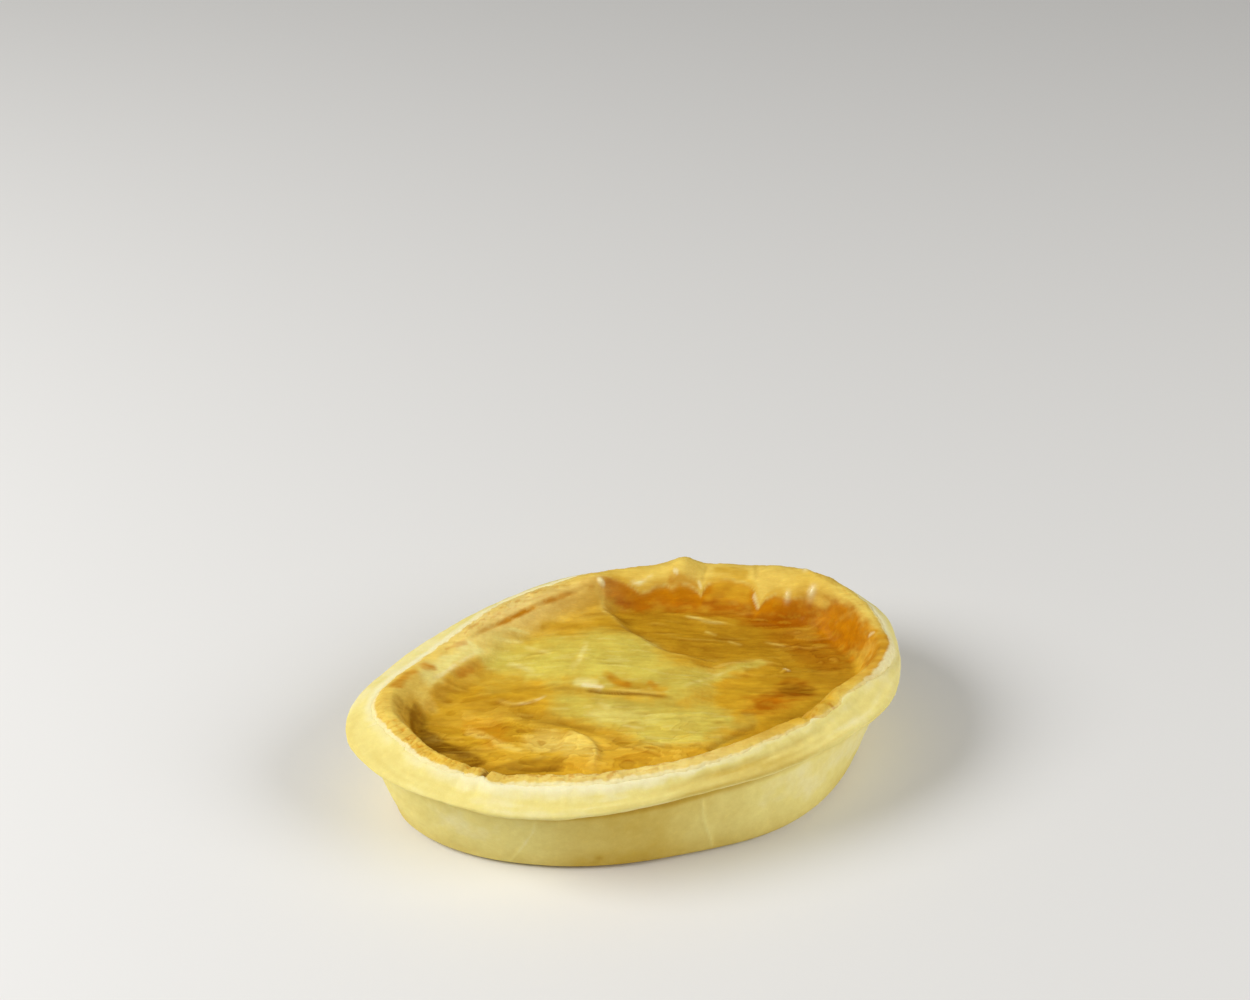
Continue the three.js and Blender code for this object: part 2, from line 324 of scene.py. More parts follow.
case_turns = np.arange(CASE_TURNS) * FULL_TURN / CASE_TURNS
rings = case_rings(case_turns)
case_positions = row_positions(rings)
case_table = through(rings, case_positions)
case_table[..., 2] = np.maximum(case_table[..., 2], 0)
case_shell = spin_column(len(case_positions), CASE_TURNS)
turn_layer = case_shell.verts.layers.float.new("turn")
row_layer = case_shell.verts.layers.float.new("row")
for vert in case_shell.verts:
    row = round(vert.co.z)
    step = round(math.atan2(vert.co.y, vert.co.x) / FULL_TURN * CASE_TURNS) % CASE_TURNS
    vert[turn_layer] = case_turns[step]
    vert[row_layer] = case_positions[row]
    vert.co = case_table[row, step]
bmesh.ops.remove_doubles(case_shell, verts=case_shell.verts, dist=MERGE_DISTANCE)
bmesh.ops.recalc_face_normals(case_shell, faces=case_shell.faces)
print("case:", len(case_positions), "rows,", len(case_shell.faces), "faces")

# %% [markdown]
# From here on the pieces are meshes, and numbers such as a turn, a tint or a gloss are kept on their
# vertices as attributes, so that the colour can follow the shape exactly. A few helpers read and write
# whole arrays at once. The plan's own coordinates stay in millimetres, and a mesh is only scaled to
# metres and centred when its shape is done.

# %% Helpers for meshes
def mesh_from(shell, name):
    mesh = bpy.data.meshes.new(name)
    shell.to_mesh(mesh)
    shell.free()
    mesh.shade_smooth()
    return mesh


def read_vectors(collection, field):
    values = np.empty(len(collection) * 3, np.float32)
    collection.foreach_get(field, values)
    return values.reshape(-1, 3).astype(float)


def read_floats(mesh, name):
    values = np.empty(len(mesh.vertices), np.float32)
    mesh.attributes[name].data.foreach_get("value", values)
    return values.astype(float)


def write_floats(mesh, name, values):
    layer = mesh.attributes.new(name, "FLOAT", "POINT")
    layer.data.foreach_set("value", np.asarray(values, np.float32))


def raise_surface(mesh, height):
    """Moves every vertex along its normal by its height."""
    points = read_vectors(mesh.vertices, "co")
    points += read_vectors(mesh.vertex_normals, "vector") * height[:, None]
    mesh.vertices.foreach_set("co", points.astype(np.float32).ravel())
    mesh.update()
    return points


def finished_piece(mesh, name):
    """Centres a mesh over the origin, in metres, and makes it stand for the solid of that name."""
    mesh.transform(Matrix.Scale(MM, 4) @ Matrix.Translation((-PLAN_MIDDLE[0], -PLAN_MIDDLE[1], 0)))
    piece = bpy.data.objects.new(name + "_baked", mesh)
    bpy.context.scene.collection.objects.link(piece)
    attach(piece, "root")
    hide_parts(name)
    return piece


case_mesh = mesh_from(case_shell, "pastry_case_baked")
case_turn = read_floats(case_mesh, "turn")
case_row = read_floats(case_mesh, "row")
print("case vertices:", len(case_mesh.vertices))

# %% [markdown]
# Shortcrust that was pressed into a tin is smooth, but never flat: broad waves from the fingers, a
# finer bumpiness where the fat melted, and a crease where two edges of the dough met in the tin. A
# crease on the real wall is a thin raised seam, paler than the rest because it touched the metal. Each
# crease follows a short path on the wall, given by a few turns and heights from the top to the foot.
# The collar has shallow grooves at the near right, and one short split at its left end.

# %% Relief of the case
# The waves, the bumps and the pores: height, size and seed.
CASE_GRAIN = [(0.3, 16, 3), (0.1, 4, 4), (0.03, 1.3, 5)]
TABLE_FADE = (0.3, 3)
WALL_CREASES = [
    [(235, 19), (234.2, 14), (231.7, 9.3), (228, 3.5), (226, 1)],
    [(271.8, 19), (272.2, 11.3), (273.8, 5.5), (274.8, 1)],
]
CREASE_RISE, CREASE_WIDTH = 0.16, 0.4
CREASE_FOOT_FADE, CREASE_TOP_FADE = 2, 3
# Each groove round the collar: its inset, depth and half width.
COLLAR_GROOVES = [(1.6, 0.3, 0.6), (3.6, 0.55, 0.8), (5.2, 0.25, 0.6)]
GROOVED_TURNS = [(300, 1, 24)]
SPLIT_TURN, SPLIT_SPREAD, SPLIT_DEPTH = 173, 0.7, 0.4
SPLIT_REACH = (0.45, 0.75)

case_points = read_vectors(case_mesh.vertices, "co")
case_height = case_points[:, 2]
off_the_table = smooth(case_height, *TABLE_FADE)
arc = np.hypot(HALF_LENGTH * np.sin(case_turn), HALF_WIDTH * np.cos(case_turn))
crease = np.zeros(len(case_points))
for path in WALL_CREASES:
    turns, heights = np.array(path[::-1]).T
    middle = np.radians(np.interp(case_height, heights, turns))
    above_foot = smooth(case_height, heights[0], heights[0] + CREASE_FOOT_FADE)
    below_collar = 1 - smooth(case_height, heights[-1] - CREASE_TOP_FADE, heights[-1])
    crease += bump((case_turn - middle) * arc, CREASE_WIDTH) * above_foot * below_collar
edge_inset = cut_edge(case_turn)
first_collar_ring = LAST_SHOWN_RING - len(COLLAR_TOP_SHARES) - 1
collar_share = np.clip((case_row - first_collar_ring) / len(COLLAR_TOP_SHARES), 0, 1)
on_collar = smooth(case_row, first_collar_ring - 1, first_collar_ring)
groove = np.zeros(len(case_points))
for inset, depth, width in COLLAR_GROOVES:
    groove += depth * bump(collar_share * edge_inset - inset, width)
groove *= on_collar * np.clip(swell(GROOVED_TURNS, case_turn), 0, 1)
split = on_collar * bump(np.degrees(case_turn) - SPLIT_TURN, SPLIT_SPREAD)
split *= smooth(collar_share, *SPLIT_REACH)
relief = layered_grain(case_points, CASE_GRAIN)
relief += CREASE_RISE * crease - groove - SPLIT_DEPTH * split
case_points = raise_surface(case_mesh, relief * off_the_table)
print("case relief from", relief.min().round(2), "to", relief.max().round(2), "mm")

# %% [markdown]
# The lid is a sheet. A round sheet of even quads has no pole in its middle if it starts as a square
# grid whose square rings are pulled into ovals, so the grid operator makes the sheet, and each vertex
# keeps its turn round the oval and its reach from the cut edge to the middle. Rows crowd towards the
# edge, where the sheet bends most.

# %% Lay out the lid's sheet
LID_CELLS = 284
EDGE_CROWDING = 1.18

lid_sheet = bmesh.new()
bmesh.ops.create_grid(lid_sheet, x_segments=LID_CELLS, y_segments=LID_CELLS, size=1)
turn_layer = lid_sheet.verts.layers.float.new("turn")
reach_layer = lid_sheet.verts.layers.float.new("reach")
under_layer = lid_sheet.verts.layers.float.new("under")
for vert in lid_sheet.verts:
    u, v = vert.co.x, vert.co.y
    ring = max(abs(u), abs(v))
    if abs(u) >= abs(v):
        turn = math.pi / 4 * v / u if u else 0.0
        turn += math.pi if u < 0 else 0.0
    else:
        turn = math.pi / 2 - math.pi / 4 * u / v + (math.pi if v < 0 else 0.0)
    vert[turn_layer] = turn % FULL_TURN
    vert[reach_layer] = max(1 - ring, 0) ** EDGE_CROWDING
print("lid sheet:", len(lid_sheet.faces), "faces")

# %% [markdown]
# The sheet's thickness comes next. A Solidify modifier would thicken it evenly, but the real lid is
# thin where it was cut and thicker inside, and its cut edge bulges. So the sheet's border is extruded
# row by row: three times for the bulging cut, then back under the lid, and the last ring is merged into
# one point. Each new vertex keeps the turn of the one that it came from.

# %% Extrude the lid's edge and underside
LID_THICKNESS = 2.4
# How far each row lies inside the cut edge, and how far below the top.
CUT_ROWS = [(-0.16, 0.3), (-0.2, 0.62), (-0.05, 0.98)]
UNDER_ROWS = [(1.2, 1.5), (3.4, 2.2)]
UNDER_ROWS += [(inside, LID_THICKNESS) for inside in (5.5, 7.5, 9.5, 11.5, 13.5, 16, 30)]

border = [edge for edge in lid_sheet.edges if edge.is_boundary]
for inside, drop in CUT_ROWS + UNDER_ROWS:
    grown = bmesh.ops.extrude_edge_only(lid_sheet, edges=border)["geom"]
    border = [item for item in grown if isinstance(item, bmesh.types.BMEdge) and item.is_boundary]
    new_ring = [item for item in grown if isinstance(item, bmesh.types.BMVert)]
    for vert in new_ring:
        vert[reach_layer] = inside / HALF_LENGTH
        vert[under_layer] = drop
bmesh.ops.pointmerge(lid_sheet, verts=new_ring, merge_co=(0, 0, 0))
lid_mesh = mesh_from(lid_sheet, "pastry_lid_baked")
lid_turn = read_floats(lid_mesh, "turn")
lid_reach = read_floats(lid_mesh, "reach")
lid_under = read_floats(lid_mesh, "under")
on_top = lid_under == 0
print("lid:", len(lid_mesh.vertices), "vertices,", int(on_top.sum()), "of them on top")

# %% [markdown]
# In the oven the lid rose over the rim, sank in the middle and wrinkled. Its bed is a floor with a few
# broad swells, and the folds stand along short paths: gentle on one side, steep on the other, fading
# out at both ends. A path has only the points that its bend needs, and a smooth curve runs through
# them.

# %% Floor and folds of the lid
FLOOR_HEIGHT = 18.4
# Each swell of the floor: its middle, its reach along and across, and its height. The first is the dome.
SWELLS = [
    ((-14, 17), (26, 15), 3.4), ((40, 8), (18, 14), -1.1),
    ((-42, 2), (11, 13), -1.2), ((20, -14), (20, 9), 0.5),
]
# Each fold: its path, its rise, how far it takes to fall on its gentle and its steep side, and 1 where
# the steep side is on the left as the path runs.
FOLDS = [
    ([(2, 36), (3.5, 23), (6, 15), (12, 7.5), (22, 2.5)], 2.3, 17, 1.9, 1),
    ([(-21, 7.3), (-15.9, 5.7), (-11.8, 3.9), (-6.2, 1.2), (0.3, -2.6), (6.6, -5.9), (14, -9)],
     0.8, 9, 0.4, -1),
    ([(9, -7), (18, -3.5), (27, -0.5), (37, 0)], 0.9, 5, 2.2, -1),
    ([(-51, 8), (-44, 13.6), (-40, 15.2), (-37.5, 17.4), (-33, 18.8), (-26, 21.4)], 1.8, 5, 0.8, -1),
    ([(-20.2, -6.8), (-17.5, -9.2), (-15, -13.3), (-15.6, -16.5), (-18.4, -21)], 1.2, 9, 1, 1),
]
FOLD_FADE = 0.2
PATH_STEPS = 20


def beside_path(x, y, path):
    """The distance to a smooth path, the share of it that is passed, and the side: 1 left, -1 right."""
    curve = through(path, np.linspace(0, len(path) - 1, PATH_STEPS))
    nearest, side, along = np.full_like(x, np.inf), np.ones_like(x), np.zeros_like(x)
    for index, (start, end) in enumerate(zip(curve, curve[1:])):
        step = end - start
        share = np.clip(((x - start[0]) * step[0] + (y - start[1]) * step[1]) / (step @ step), 0, 1)
        off_x, off_y = x - start[0] - share * step[0], y - start[1] - share * step[1]
        distance = np.hypot(off_x, off_y)
        closer = distance < nearest
        nearest = np.where(closer, distance, nearest)
        side = np.where(closer, np.where(step[0] * off_y >= step[1] * off_x, 1, -1), side)
        along = np.where(closer, (index + share) / (PATH_STEPS - 1), along)
    return nearest, along, side


def bed_height(x, y):
    height = np.full_like(x, FLOOR_HEIGHT)
    for middle, reach, size in SWELLS:
        height += size * bump(np.hypot((x - middle[0]) / reach[0], (y - middle[1]) / reach[1]), 1)
    return height


def fold_height(x, y):
    height = np.zeros_like(x)
    for path, rise, gentle, steep, steep_on in FOLDS:
        distance, along, side = beside_path(x, y, path)
        fall = np.where(side == steep_on, steep, gentle)
        height += rise * fade_ends(along, FOLD_FADE) * bump(distance, fall)
    return height


dome = np.array(SWELLS[0][0], float)
print("top of the dome:", bed_height(dome[:1], dome[1:]).round(1), "mm")

# %% [markdown]
# Puff pastry is hundreds of thin leaves. On the floor they show as long ripples and streaks that all
# run the way the dough was rolled, and as flakes whose edges stand up like the steps of a terraced
# hill. A noise that is rounded to a few levels makes such steps, and coordinates turned along the roll
# make all of it run one way.

# %% Ripples and terraces
ROLL_TURN = math.radians(-20)
RIPPLE_LENGTH, RIPPLE_HEIGHT, RIPPLE_BEND, RIPPLE_BEND_LENGTH = 9, 0.22, 2, 11
STREAK_SIZE, STREAK_HEIGHT = (9, 1.5, 1.5), 0.16
TERRACE_SIZE, TERRACE_STEPS, TERRACE_HEIGHT = (10, 4.6, 4.6), 5, 0.9
# Where in a step it rises, where its lip and its foot are, and how far they spread, as shares of it.
STEP_RISE, STEP_LIP, STEP_FOOT, STEP_SPREAD = (0.42, 0.58), 0.62, 0.38, 0.08
# Each flaky part of the floor: a path through it, and how far it reaches.
FLAKY_FLOORS = [([(-40, 4), (-30, -6), (-18, -16), (2, -20)], 10), ([(44, 4), (46, -4)], 6)]


def along_the_roll(x, y, z):
    """Coordinates turned so that the first runs the way the dough was rolled."""
    cosine, sine = math.cos(ROLL_TURN), math.sin(ROLL_TURN)
    return np.stack([x * cosine + y * sine, y * cosine - x * sine, z], axis=-1)


def ripple_height(rolled):
    wave = (RIPPLE_BEND * np.sin(rolled[:, 0] / RIPPLE_BEND_LENGTH) - rolled[:, 1]) / RIPPLE_LENGTH
    return RIPPLE_HEIGHT * np.sin(FULL_TURN * wave)


def terraces(rolled):
    """Steps of flaky leaves: their height from 0 to 1, and masks for the painted highlight on the lip and
    the painted shade at the foot of a step.
    """
    level = (grain(rolled, TERRACE_SIZE, seed=6) * 0.5 + 0.5) * TERRACE_STEPS
    part = level - np.floor(level)
    height = (np.floor(level) + smooth(part, *STEP_RISE)) / TERRACE_STEPS
    return height, bump(part - STEP_LIP, STEP_SPREAD), bump(part - STEP_FOOT, STEP_SPREAD)


print("ripples every", RIPPLE_LENGTH, "mm")

# %% [markdown]
# The roll over the rim has a relief of its own. Where the lid climbs the back of the rim it is gathered
# in pleats, at the left end the roll is toasted and cracked across, and elsewhere it carries loose
# flakes and crumbs. All of this could be noise on the plan, but then cracks would run every way, so the
# rim is unrolled: one coordinate goes round it, the other in from the cut edge.

# %% Pleats, cracks and flakes of the rim
PLEATS = [
    (87, 1, 4), (75, 0.3, 3.6), (65, 0.8, 3.2), (60, -0.5, 2.4),
    (52, 0.5, 4), (41, 0.8, 3.6), (22, 0.7, 4),
]
PLEAT_INSET, PLEAT_REACH = 4.6, 3
CRACKED_TURNS = [(192, 1, 30)]
CRACK_SIZE, CRACK_WIDTH, CRACK_HEIGHT = (1.7, 7, 1), 0.13, 0.3
# A band on the roll: the distance of its middle from the cut edge, and its half width.
CRACK_BAND = (2.6, 2.2)
FLAKED_TURNS = [(248, 1, 30), (312, 0.6, 18), (196, 0.7, 28), (20, 0.4, 30), (110, 0.8, 20)]
LOOSE_FLAKES = {"size": (3.4, 1.5, 1), "seed": 21, "band": (2.4, 2), "edge": (-0.06, 0.12)}
BROWN_CRUMBS = {"size": (2.4, 1, 1), "seed": 23, "band": (2.8, 1.8), "edge": (0.12, 0.36)}
LOOSE_FLAKE_HEIGHT = 0.3


def pleat_height(turn, inside):
    return swell(PLEATS, turn) * bump(inside - PLEAT_INSET, PLEAT_REACH)


rim_length = np.concatenate([[0], np.cumsum(np.linalg.norm(np.diff(rim_path, axis=0), axis=1))])


def on_the_rim(turn, inside):
    """Coordinates on the unrolled rim: the way round, and the way in from the cut edge."""
    way_round = np.interp(turn % FULL_TURN, outline_turns, rim_length)
    return np.stack([way_round, inside, np.zeros_like(turn)], axis=-1)


def on_roll(swellings, band, turn, inside):
    """A mask for a band on the roll that comes and goes round the rim."""
    middle, half_width = band
    return np.clip(swell(swellings, turn), 0, 1) * bump(inside - middle, half_width)


def rim_cracks(turn, inside):
    """Cracks across the toasted roll, where a noise drawn out inwards changes sign."""
    change = np.abs(grain(on_the_rim(turn, inside), CRACK_SIZE, seed=7, octaves=2))
    return on_roll(CRACKED_TURNS, CRACK_BAND, turn, inside) * (1 - smooth(change, 0, CRACK_WIDTH))


def rim_flakes(turn, inside, size, seed, band, edge):
    """Loose flakes or crumbs on the roll, 1 on a flake and 0 beside it."""
    lifted = smooth(grain(on_the_rim(turn, inside), size, seed), *edge)
    return on_roll(FLAKED_TURNS, band, turn, inside) * lifted


print("way round the rim:", rim_length[-1].round(1), "mm")

# %% [markdown]
# The flakes that catch the eye are single leaves that have curled up: a short edge along the roll, a
# sharp drop on one side and a long gentle fall on the other. A few have their own path. The rest are
# scattered by a seeded draw, so that the same pie comes out each time, in the turned coordinates, where
# such an edge is nearly a straight line.

# %% Curled leaves
LEAF_DROP, LEAF_FALL, LEAF_MOST = 0.22, 2.4, 0.45
# Each leaf that has its own path, and its rise.
LEAF_EDGES = [
    ([(-31.5, 8.4), (-27.4, 4.8), (-20.2, 4.5)], 0.28),
    ([(20.5, 22.6), (22.2, 21.4), (25.7, 19), (29.2, 17), (32, 15)], 0.32),
    ([(13, 16), (21.4, 12.6), (29.5, 9.6)], 0.22),
    ([(-10, -13.8), (-4.1, -19.3), (-1, -22.5)], 0.25),
    ([(34.5, -5), (37.5, -4)], 0.4),
]
SCATTERED, LEAF_SEED = 60, 11
SCATTER_FIELD = ((-46, -26), (52, 32))
LENGTHS, RISES, BENDS = (1.5, 5), (0.06, 0.26), (-0.05, 0.05)
NEAR_SHARE = 0.75
PLACED_WANDER, SCATTERED_WANDER = 0.3, 0.4
# The painted highlight on the edge and the painted shade at the foot: how far past the leaf's edge, and
# their half width.
PAINTED_EDGE_HIGHLIGHT, PAINTED_FOOT_SHADE = (0.2, 0.32), (-0.45, 0.4)


def curled_edge(across, fade, rise):
    """A leaf's height, its painted edge highlight and its painted foot shade, by the distance to its
    edge: below zero is the drop.
    """
    height = rise * fade * bump(across, np.where(across > 0, LEAF_FALL, LEAF_DROP))
    strength = fade * rise / LEAF_MOST
    masks = [strength * bump(across - place, half_width) for place, half_width in (PAINTED_EDGE_HIGHLIGHT, PAINTED_FOOT_SHADE)]
    return np.stack([height, *masks])


def curled_leaves(x, y, rolled, wander):
    leaves = np.zeros((3, len(x)))
    for path, rise in LEAF_EDGES:
        distance, along, side = beside_path(x, y, path)
        across = distance * side + PLACED_WANDER * wander
        leaves += curled_edge(across, np.sin(math.pi * along), rise)
    draw = np.random.default_rng(LEAF_SEED)
    for _ in range(SCATTERED):
        place = draw.uniform(*SCATTER_FIELD)
        half_length = draw.uniform(*LENGTHS)
        rise = draw.uniform(*RISES)
        bend = draw.uniform(*BENDS)
        facing = 1 if draw.random() < NEAR_SHARE else -1
        along = rolled[:, 0] - place[0]
        across = facing * (rolled[:, 1] - place[1] - bend * along**2) + SCATTERED_WANDER * wander
        leaves += curled_edge(across, np.clip(1 - (along / half_length) ** 2, 0, 1), rise)
    return leaves[0], np.clip(leaves[1], 0, 1), np.clip(leaves[2], 0, 1)


print("curled leaves:", len(LEAF_EDGES) + SCATTERED)

# %% [markdown]
# At the back the top leaf of the lid has torn where the sunken middle pulled it down: a pale scalloped
# edge hangs over the browner leaf below. The tear is a line round the rim, given by a few turns and
# their insets, and the leaf above it is a third of a millimetre thick. The two long points are where it
# was pulled farthest.

# %% The torn leaf at the back
TEAR = [
    (-12, 5), (0, 6), (10, 7.4), (23, 8.8), (31, 10), (36, 10.2), (38.5, 11), (40, 12.6), (41.3, 11.7),
    (43, 10), (45, 9), (47, 8.4), (51, 8.1), (54, 8.2), (56, 8.5), (58, 9.3), (59, 10.8), (60.2, 10),
    (62, 9.6), (65, 9.3), (67, 9.7), (69, 9), (71.5, 8.8), (73, 9.4), (76, 9.6), (79, 8.2),
    (82, 7.3), (85, 6.2), (92, 6.6), (100, 6.8),
]
TEAR_HEIGHT, TEAR_SOFTNESS, TEAR_FADE = 0.34, 0.3, 1
TEAR_WANDER, TEAR_WANDER_SIZE = 0.15, 2.6
TORN_TURNS = [(62, 1.1, 24), (36, 0.6, 12)]


def tear_distance(turn, inset):
    """How far outside the tear a point lies, in millimetres. Below zero it is on the browner leaf."""
    degrees = (np.degrees(turn) + 180) % 360 - 180
    tear_turns, tear_insets = np.array(TEAR).T
    uneven = TEAR_WANDER * grain(round_the_rim(turn), TEAR_WANDER_SIZE, seed=8)
    return np.interp(degrees, tear_turns, tear_insets) + uneven - inset


print("the tear reaches in up to", max(inset for _, inset in TEAR), "mm")

# %% [markdown]
# A few sharp lines finish the relief: the crease at the foot of the middle fold, the edge of the leaf
# in front of it, two creases that climb the back of the rim, two gaps behind the near rim and the line
# where the roll meets the slope at the back. They are grooves, and a groove is only a path, a depth, a
# half width and how much painted shade lies in it.

# %% Grooves of the lid
GROOVES = [
    ([(-11.2, 3.2), (-9.4, 2.4), (-7.4, 1.3), (-3.6, -0.7), (0.4, -2.7), (3.7, -4.4), (8, -6.6)],
     0.25, 0.28, 0.85),
    ([(-27, 2), (-23, -0.8), (-18.4, -4), (-12.3, -9.4), (-5.8, -16.4)], 0.4, 1.2, 0.2),
    ([(31, 32), (28.2, 27.8)], 0.16, 0.5, 0.2),
    ([(41.8, 27.4), (40, 22.6)], 0.16, 0.5, 0.2),
    ([(8, -24), (14.2, -21.5), (22.7, -19.7)], 0.5, 0.9, 0.5),
    ([(-35.4, -12.8), (-31, -14.9), (-28.7, -16), (-23.2, -17.6)], 0.3, 0.6, 0.7),
    ([(-33, 23.6), (-26, 27), (-21.1, 28.2), (-12.9, 30.8), (-4.1, 32.3), (4.4, 33.2)], 0.3, 0.5, 0.15),
]
GROOVE_FADE = 0.15


def groove_depths(x, y):
    """The depth of the grooves, and a mask of 0 to 1 for the painted shade in them."""
    depths, mask = np.zeros_like(x), np.zeros_like(x)
    for path, depth, half_width, shade in GROOVES:
        distance, along, _ = beside_path(x, y, path)
        line = bump(distance, half_width) * fade_ends(along, GROOVE_FADE)
        depths += depth * line
        mask = np.maximum(mask, shade * line)
    return depths, mask


print("grooves:", len(GROOVES))

# %% [markdown]
# Now the sheet can be put in its place: from the cut edge up over the roll, down the slope and across
# the floor. The ragged edge only shifts the outer rim, or the whole slope would hang in pleats like a
# curtain. Folds and flakes stand on the top alone, and the cut edge and the underside follow below it.

# %% Shape the lid
LID_EDGE_THICKNESS = 1.2
SEAM_GAP = 0.3
CREST_LIFT, CREST_SHARE = 2.2, 0.75
SLOPE_START, SLOPE_WIDTH = 2.4, 5.6
SLOPE_STARTS = [(180, 1.5, 26), (42, 2.1, 40), (106, 2.6, 18)]
SLOPE_SPREADS = [(138, 6.5, 28), (184, -2.4, 18), (40, 4.4, 38)]
RAGGED_REACH = 3
NICK_DROP = 1.2

lid_plain = plain_edge(lid_turn)
lid_inside = np.where(on_top, lid_reach * (HALF_LENGTH - lid_plain), lid_reach * HALF_LENGTH)
lid_inset = lid_plain + lid_inside + ragged(lid_turn) * (1 - smooth(lid_inside, 0, RAGGED_REACH))
lid_x, lid_y = oval_point(lid_turn, np.minimum(lid_inset, HALF_LENGTH))
slope_start = SLOPE_START + swell(SLOPE_STARTS, lid_turn)
slope_width = SLOPE_WIDTH + swell(SLOPE_SPREADS, lid_turn)
down = smooth(lid_inside, slope_start, slope_start + slope_width)
edge_top = collar_top(lid_turn, cut_edge(lid_turn)) + SEAM_GAP + LID_EDGE_THICKNESS
crest = RIM_HEIGHT + CREST_LIFT + swell(RIM_RISES, lid_turn) - NICK_DROP * np.abs(swell(NICKS, lid_turn))
climb = np.clip(lid_inside / (CREST_SHARE * slope_start), 0, 1)
roll = mix(edge_top, crest, 1 - (1 - climb) ** 2)
plain_z = mix(roll, bed_height(lid_x, lid_y), down)
print("lid stands from", plain_z.min().round(1), "to", plain_z.max().round(1), "mm")

# %% [markdown]
# The relief of the last cells is now raised on the plain sheet, each kind where it belongs: folds,
# ripples, leaves and terraces on the floor, lumps, flakes and cracks on the roll, pleats and the tear
# at the back. It could be a stack of Displace modifiers, but sums of arrays keep the masks, and the
# painting needs those. Normals are recalculated once the shape is closed, because the extruded rows may
# have turned some faces round.

# %% Raise the lid's relief
WANDER_SIZE = (6, 3, 3)
LEAST_FLAKY = 0.2
LUMP_HEIGHT, LUMP_SIZE, LUMP_FADE = 0.3, 6, (0.2, 1.5)

rolled = along_the_roll(lid_x, lid_y, plain_z)
wander = grain(rolled, WANDER_SIZE, seed=14)
streaks = grain(rolled, STREAK_SIZE, seed=9, octaves=4)
steps, step_lip_highlight, step_foot_shade = terraces(rolled)
flaky = np.full(len(rolled), LEAST_FLAKY)
for path, reach in FLAKY_FLOORS:
    flaky = np.maximum(flaky, bump(beside_path(lid_x, lid_y, path)[0], reach))
flakes, flake_edge_highlight, flake_foot_shade = curled_leaves(lid_x, lid_y, rolled, wander)
grooves, groove_painted_shade = groove_depths(lid_x, lid_y)
cracks = rim_cracks(lid_turn, lid_inside)
loose = rim_flakes(lid_turn, lid_inside, **LOOSE_FLAKES)
crumbs = rim_flakes(lid_turn, lid_inside, **BROWN_CRUMBS)
tear = tear_distance(lid_turn, lid_plain + lid_inside)
torn = np.clip(swell(TORN_TURNS, lid_turn), 0, 1) * smooth(lid_inside, 0, TEAR_FADE)
floor_relief = fold_height(lid_x, lid_y) + ripple_height(rolled) + flakes
floor_relief += STREAK_HEIGHT * streaks + TERRACE_HEIGHT * flaky * (steps - steps.mean())
lumps = LUMP_HEIGHT * grain(rolled, LUMP_SIZE, seed=19) * smooth(lid_inside, *LUMP_FADE)
lid_z = plain_z + down * floor_relief + (1 - down) * lumps - grooves
lid_z += LOOSE_FLAKE_HEIGHT * loose - CRACK_HEIGHT * cracks + pleat_height(lid_turn, lid_inside)
lid_z += TEAR_HEIGHT * torn * smooth(tear, -TEAR_SOFTNESS, TEAR_SOFTNESS)
lid_z = np.where(on_top, lid_z, plain_z - lid_under)
print("highest relief of the lid:", (lid_z - plain_z)[on_top].max().round(2), "mm")

# %% Turn the lid's faces outwards
lid_points = np.stack([lid_x, lid_y, lid_z], axis=-1)
lid_mesh.vertices.foreach_set("co", lid_points.astype(np.float32).ravel())
lid_mesh.update()
lid_shell = bmesh.new()
lid_shell.from_mesh(lid_mesh)
bmesh.ops.recalc_face_normals(lid_shell, faces=lid_shell.faces)
lid_shell.to_mesh(lid_mesh)
lid_shell.free()
lid_mesh.update()
print("top of the lid:", lid_points[:, 2].max().round(2), "mm")

# %% [markdown]
# The last relief is small: blisters where steam lifted a leaf at the browned end, crumbs along the cut,
# and four drops of egg wash that dried shiny at the back. Blisters are drawn with a seed as well. The
# fine roughness is added along the normals, as it would be on a sheet that is bent.

# %% Blisters, drops and crumb of the lid
BLISTER_COUNT, BLISTER_SEED = 60, 12
BLISTER_BOX = ((22, -12), (56, 22))
BLISTER_WIDTHS, BLISTER_RISES = (0.5, 1.3), (0.06, 0.24)
# Each drop: its place and its half width.
DROPS = [(51.5, 19.5, 0.7), (50.6, 13.5, 0.9), (45.6, 16.4, 0.7), (4.1, 33.3, 0.6)]
DROP_HEIGHT = 0.45
CRUMB_HEIGHT, CRUMB_SIZE, CRUMB_REACH, CRUMB_DEPTH = 0.16, 1.2, 1.6, 1.2
ROUGH_HEIGHT, ROUGH_SIZE = 0.04, 0.9

draw = np.random.default_rng(BLISTER_SEED)
blisters, drops = np.zeros((2, len(lid_points)))
for _ in range(BLISTER_COUNT):
    spot = draw.uniform(*BLISTER_BOX)
    width = draw.uniform(*BLISTER_WIDTHS)
    height = draw.uniform(*BLISTER_RISES)
    blisters += height * bump(np.hypot(lid_x - spot[0], lid_y - spot[1]), width)
for drop_x, drop_y, width in DROPS:
    drops += bump(np.hypot(lid_x - drop_x, lid_y - drop_y), width)
crumbly = bump(lid_inside, CRUMB_REACH) * np.where(lid_under > CRUMB_DEPTH, 0, 1)
lid_relief = (blisters + DROP_HEIGHT * drops) * on_top
lid_relief += CRUMB_HEIGHT * crumbly * grain(lid_points, CRUMB_SIZE, seed=12)
lid_relief += ROUGH_HEIGHT * on_top * grain(lid_points, ROUGH_SIZE, seed=13)
lid_points = raise_surface(lid_mesh, lid_relief)
print("blisters up to", blisters.max().round(2), "mm")

# %% [markdown]
# Browning is what makes this pie this pie: the dome stayed straw pale, the well beside it turned olive,
# and the slope at the back toasted to a deep orange. It could be painted by hand on an image, but here
# it is painted by strokes. Each has a path across the lid, a half width, one of eleven tones and how
# well it covers. Later strokes lie over earlier ones, and noise makes their edges wander. The tones are
# written as they show on a screen and turned into the linear colours that a shader wants.

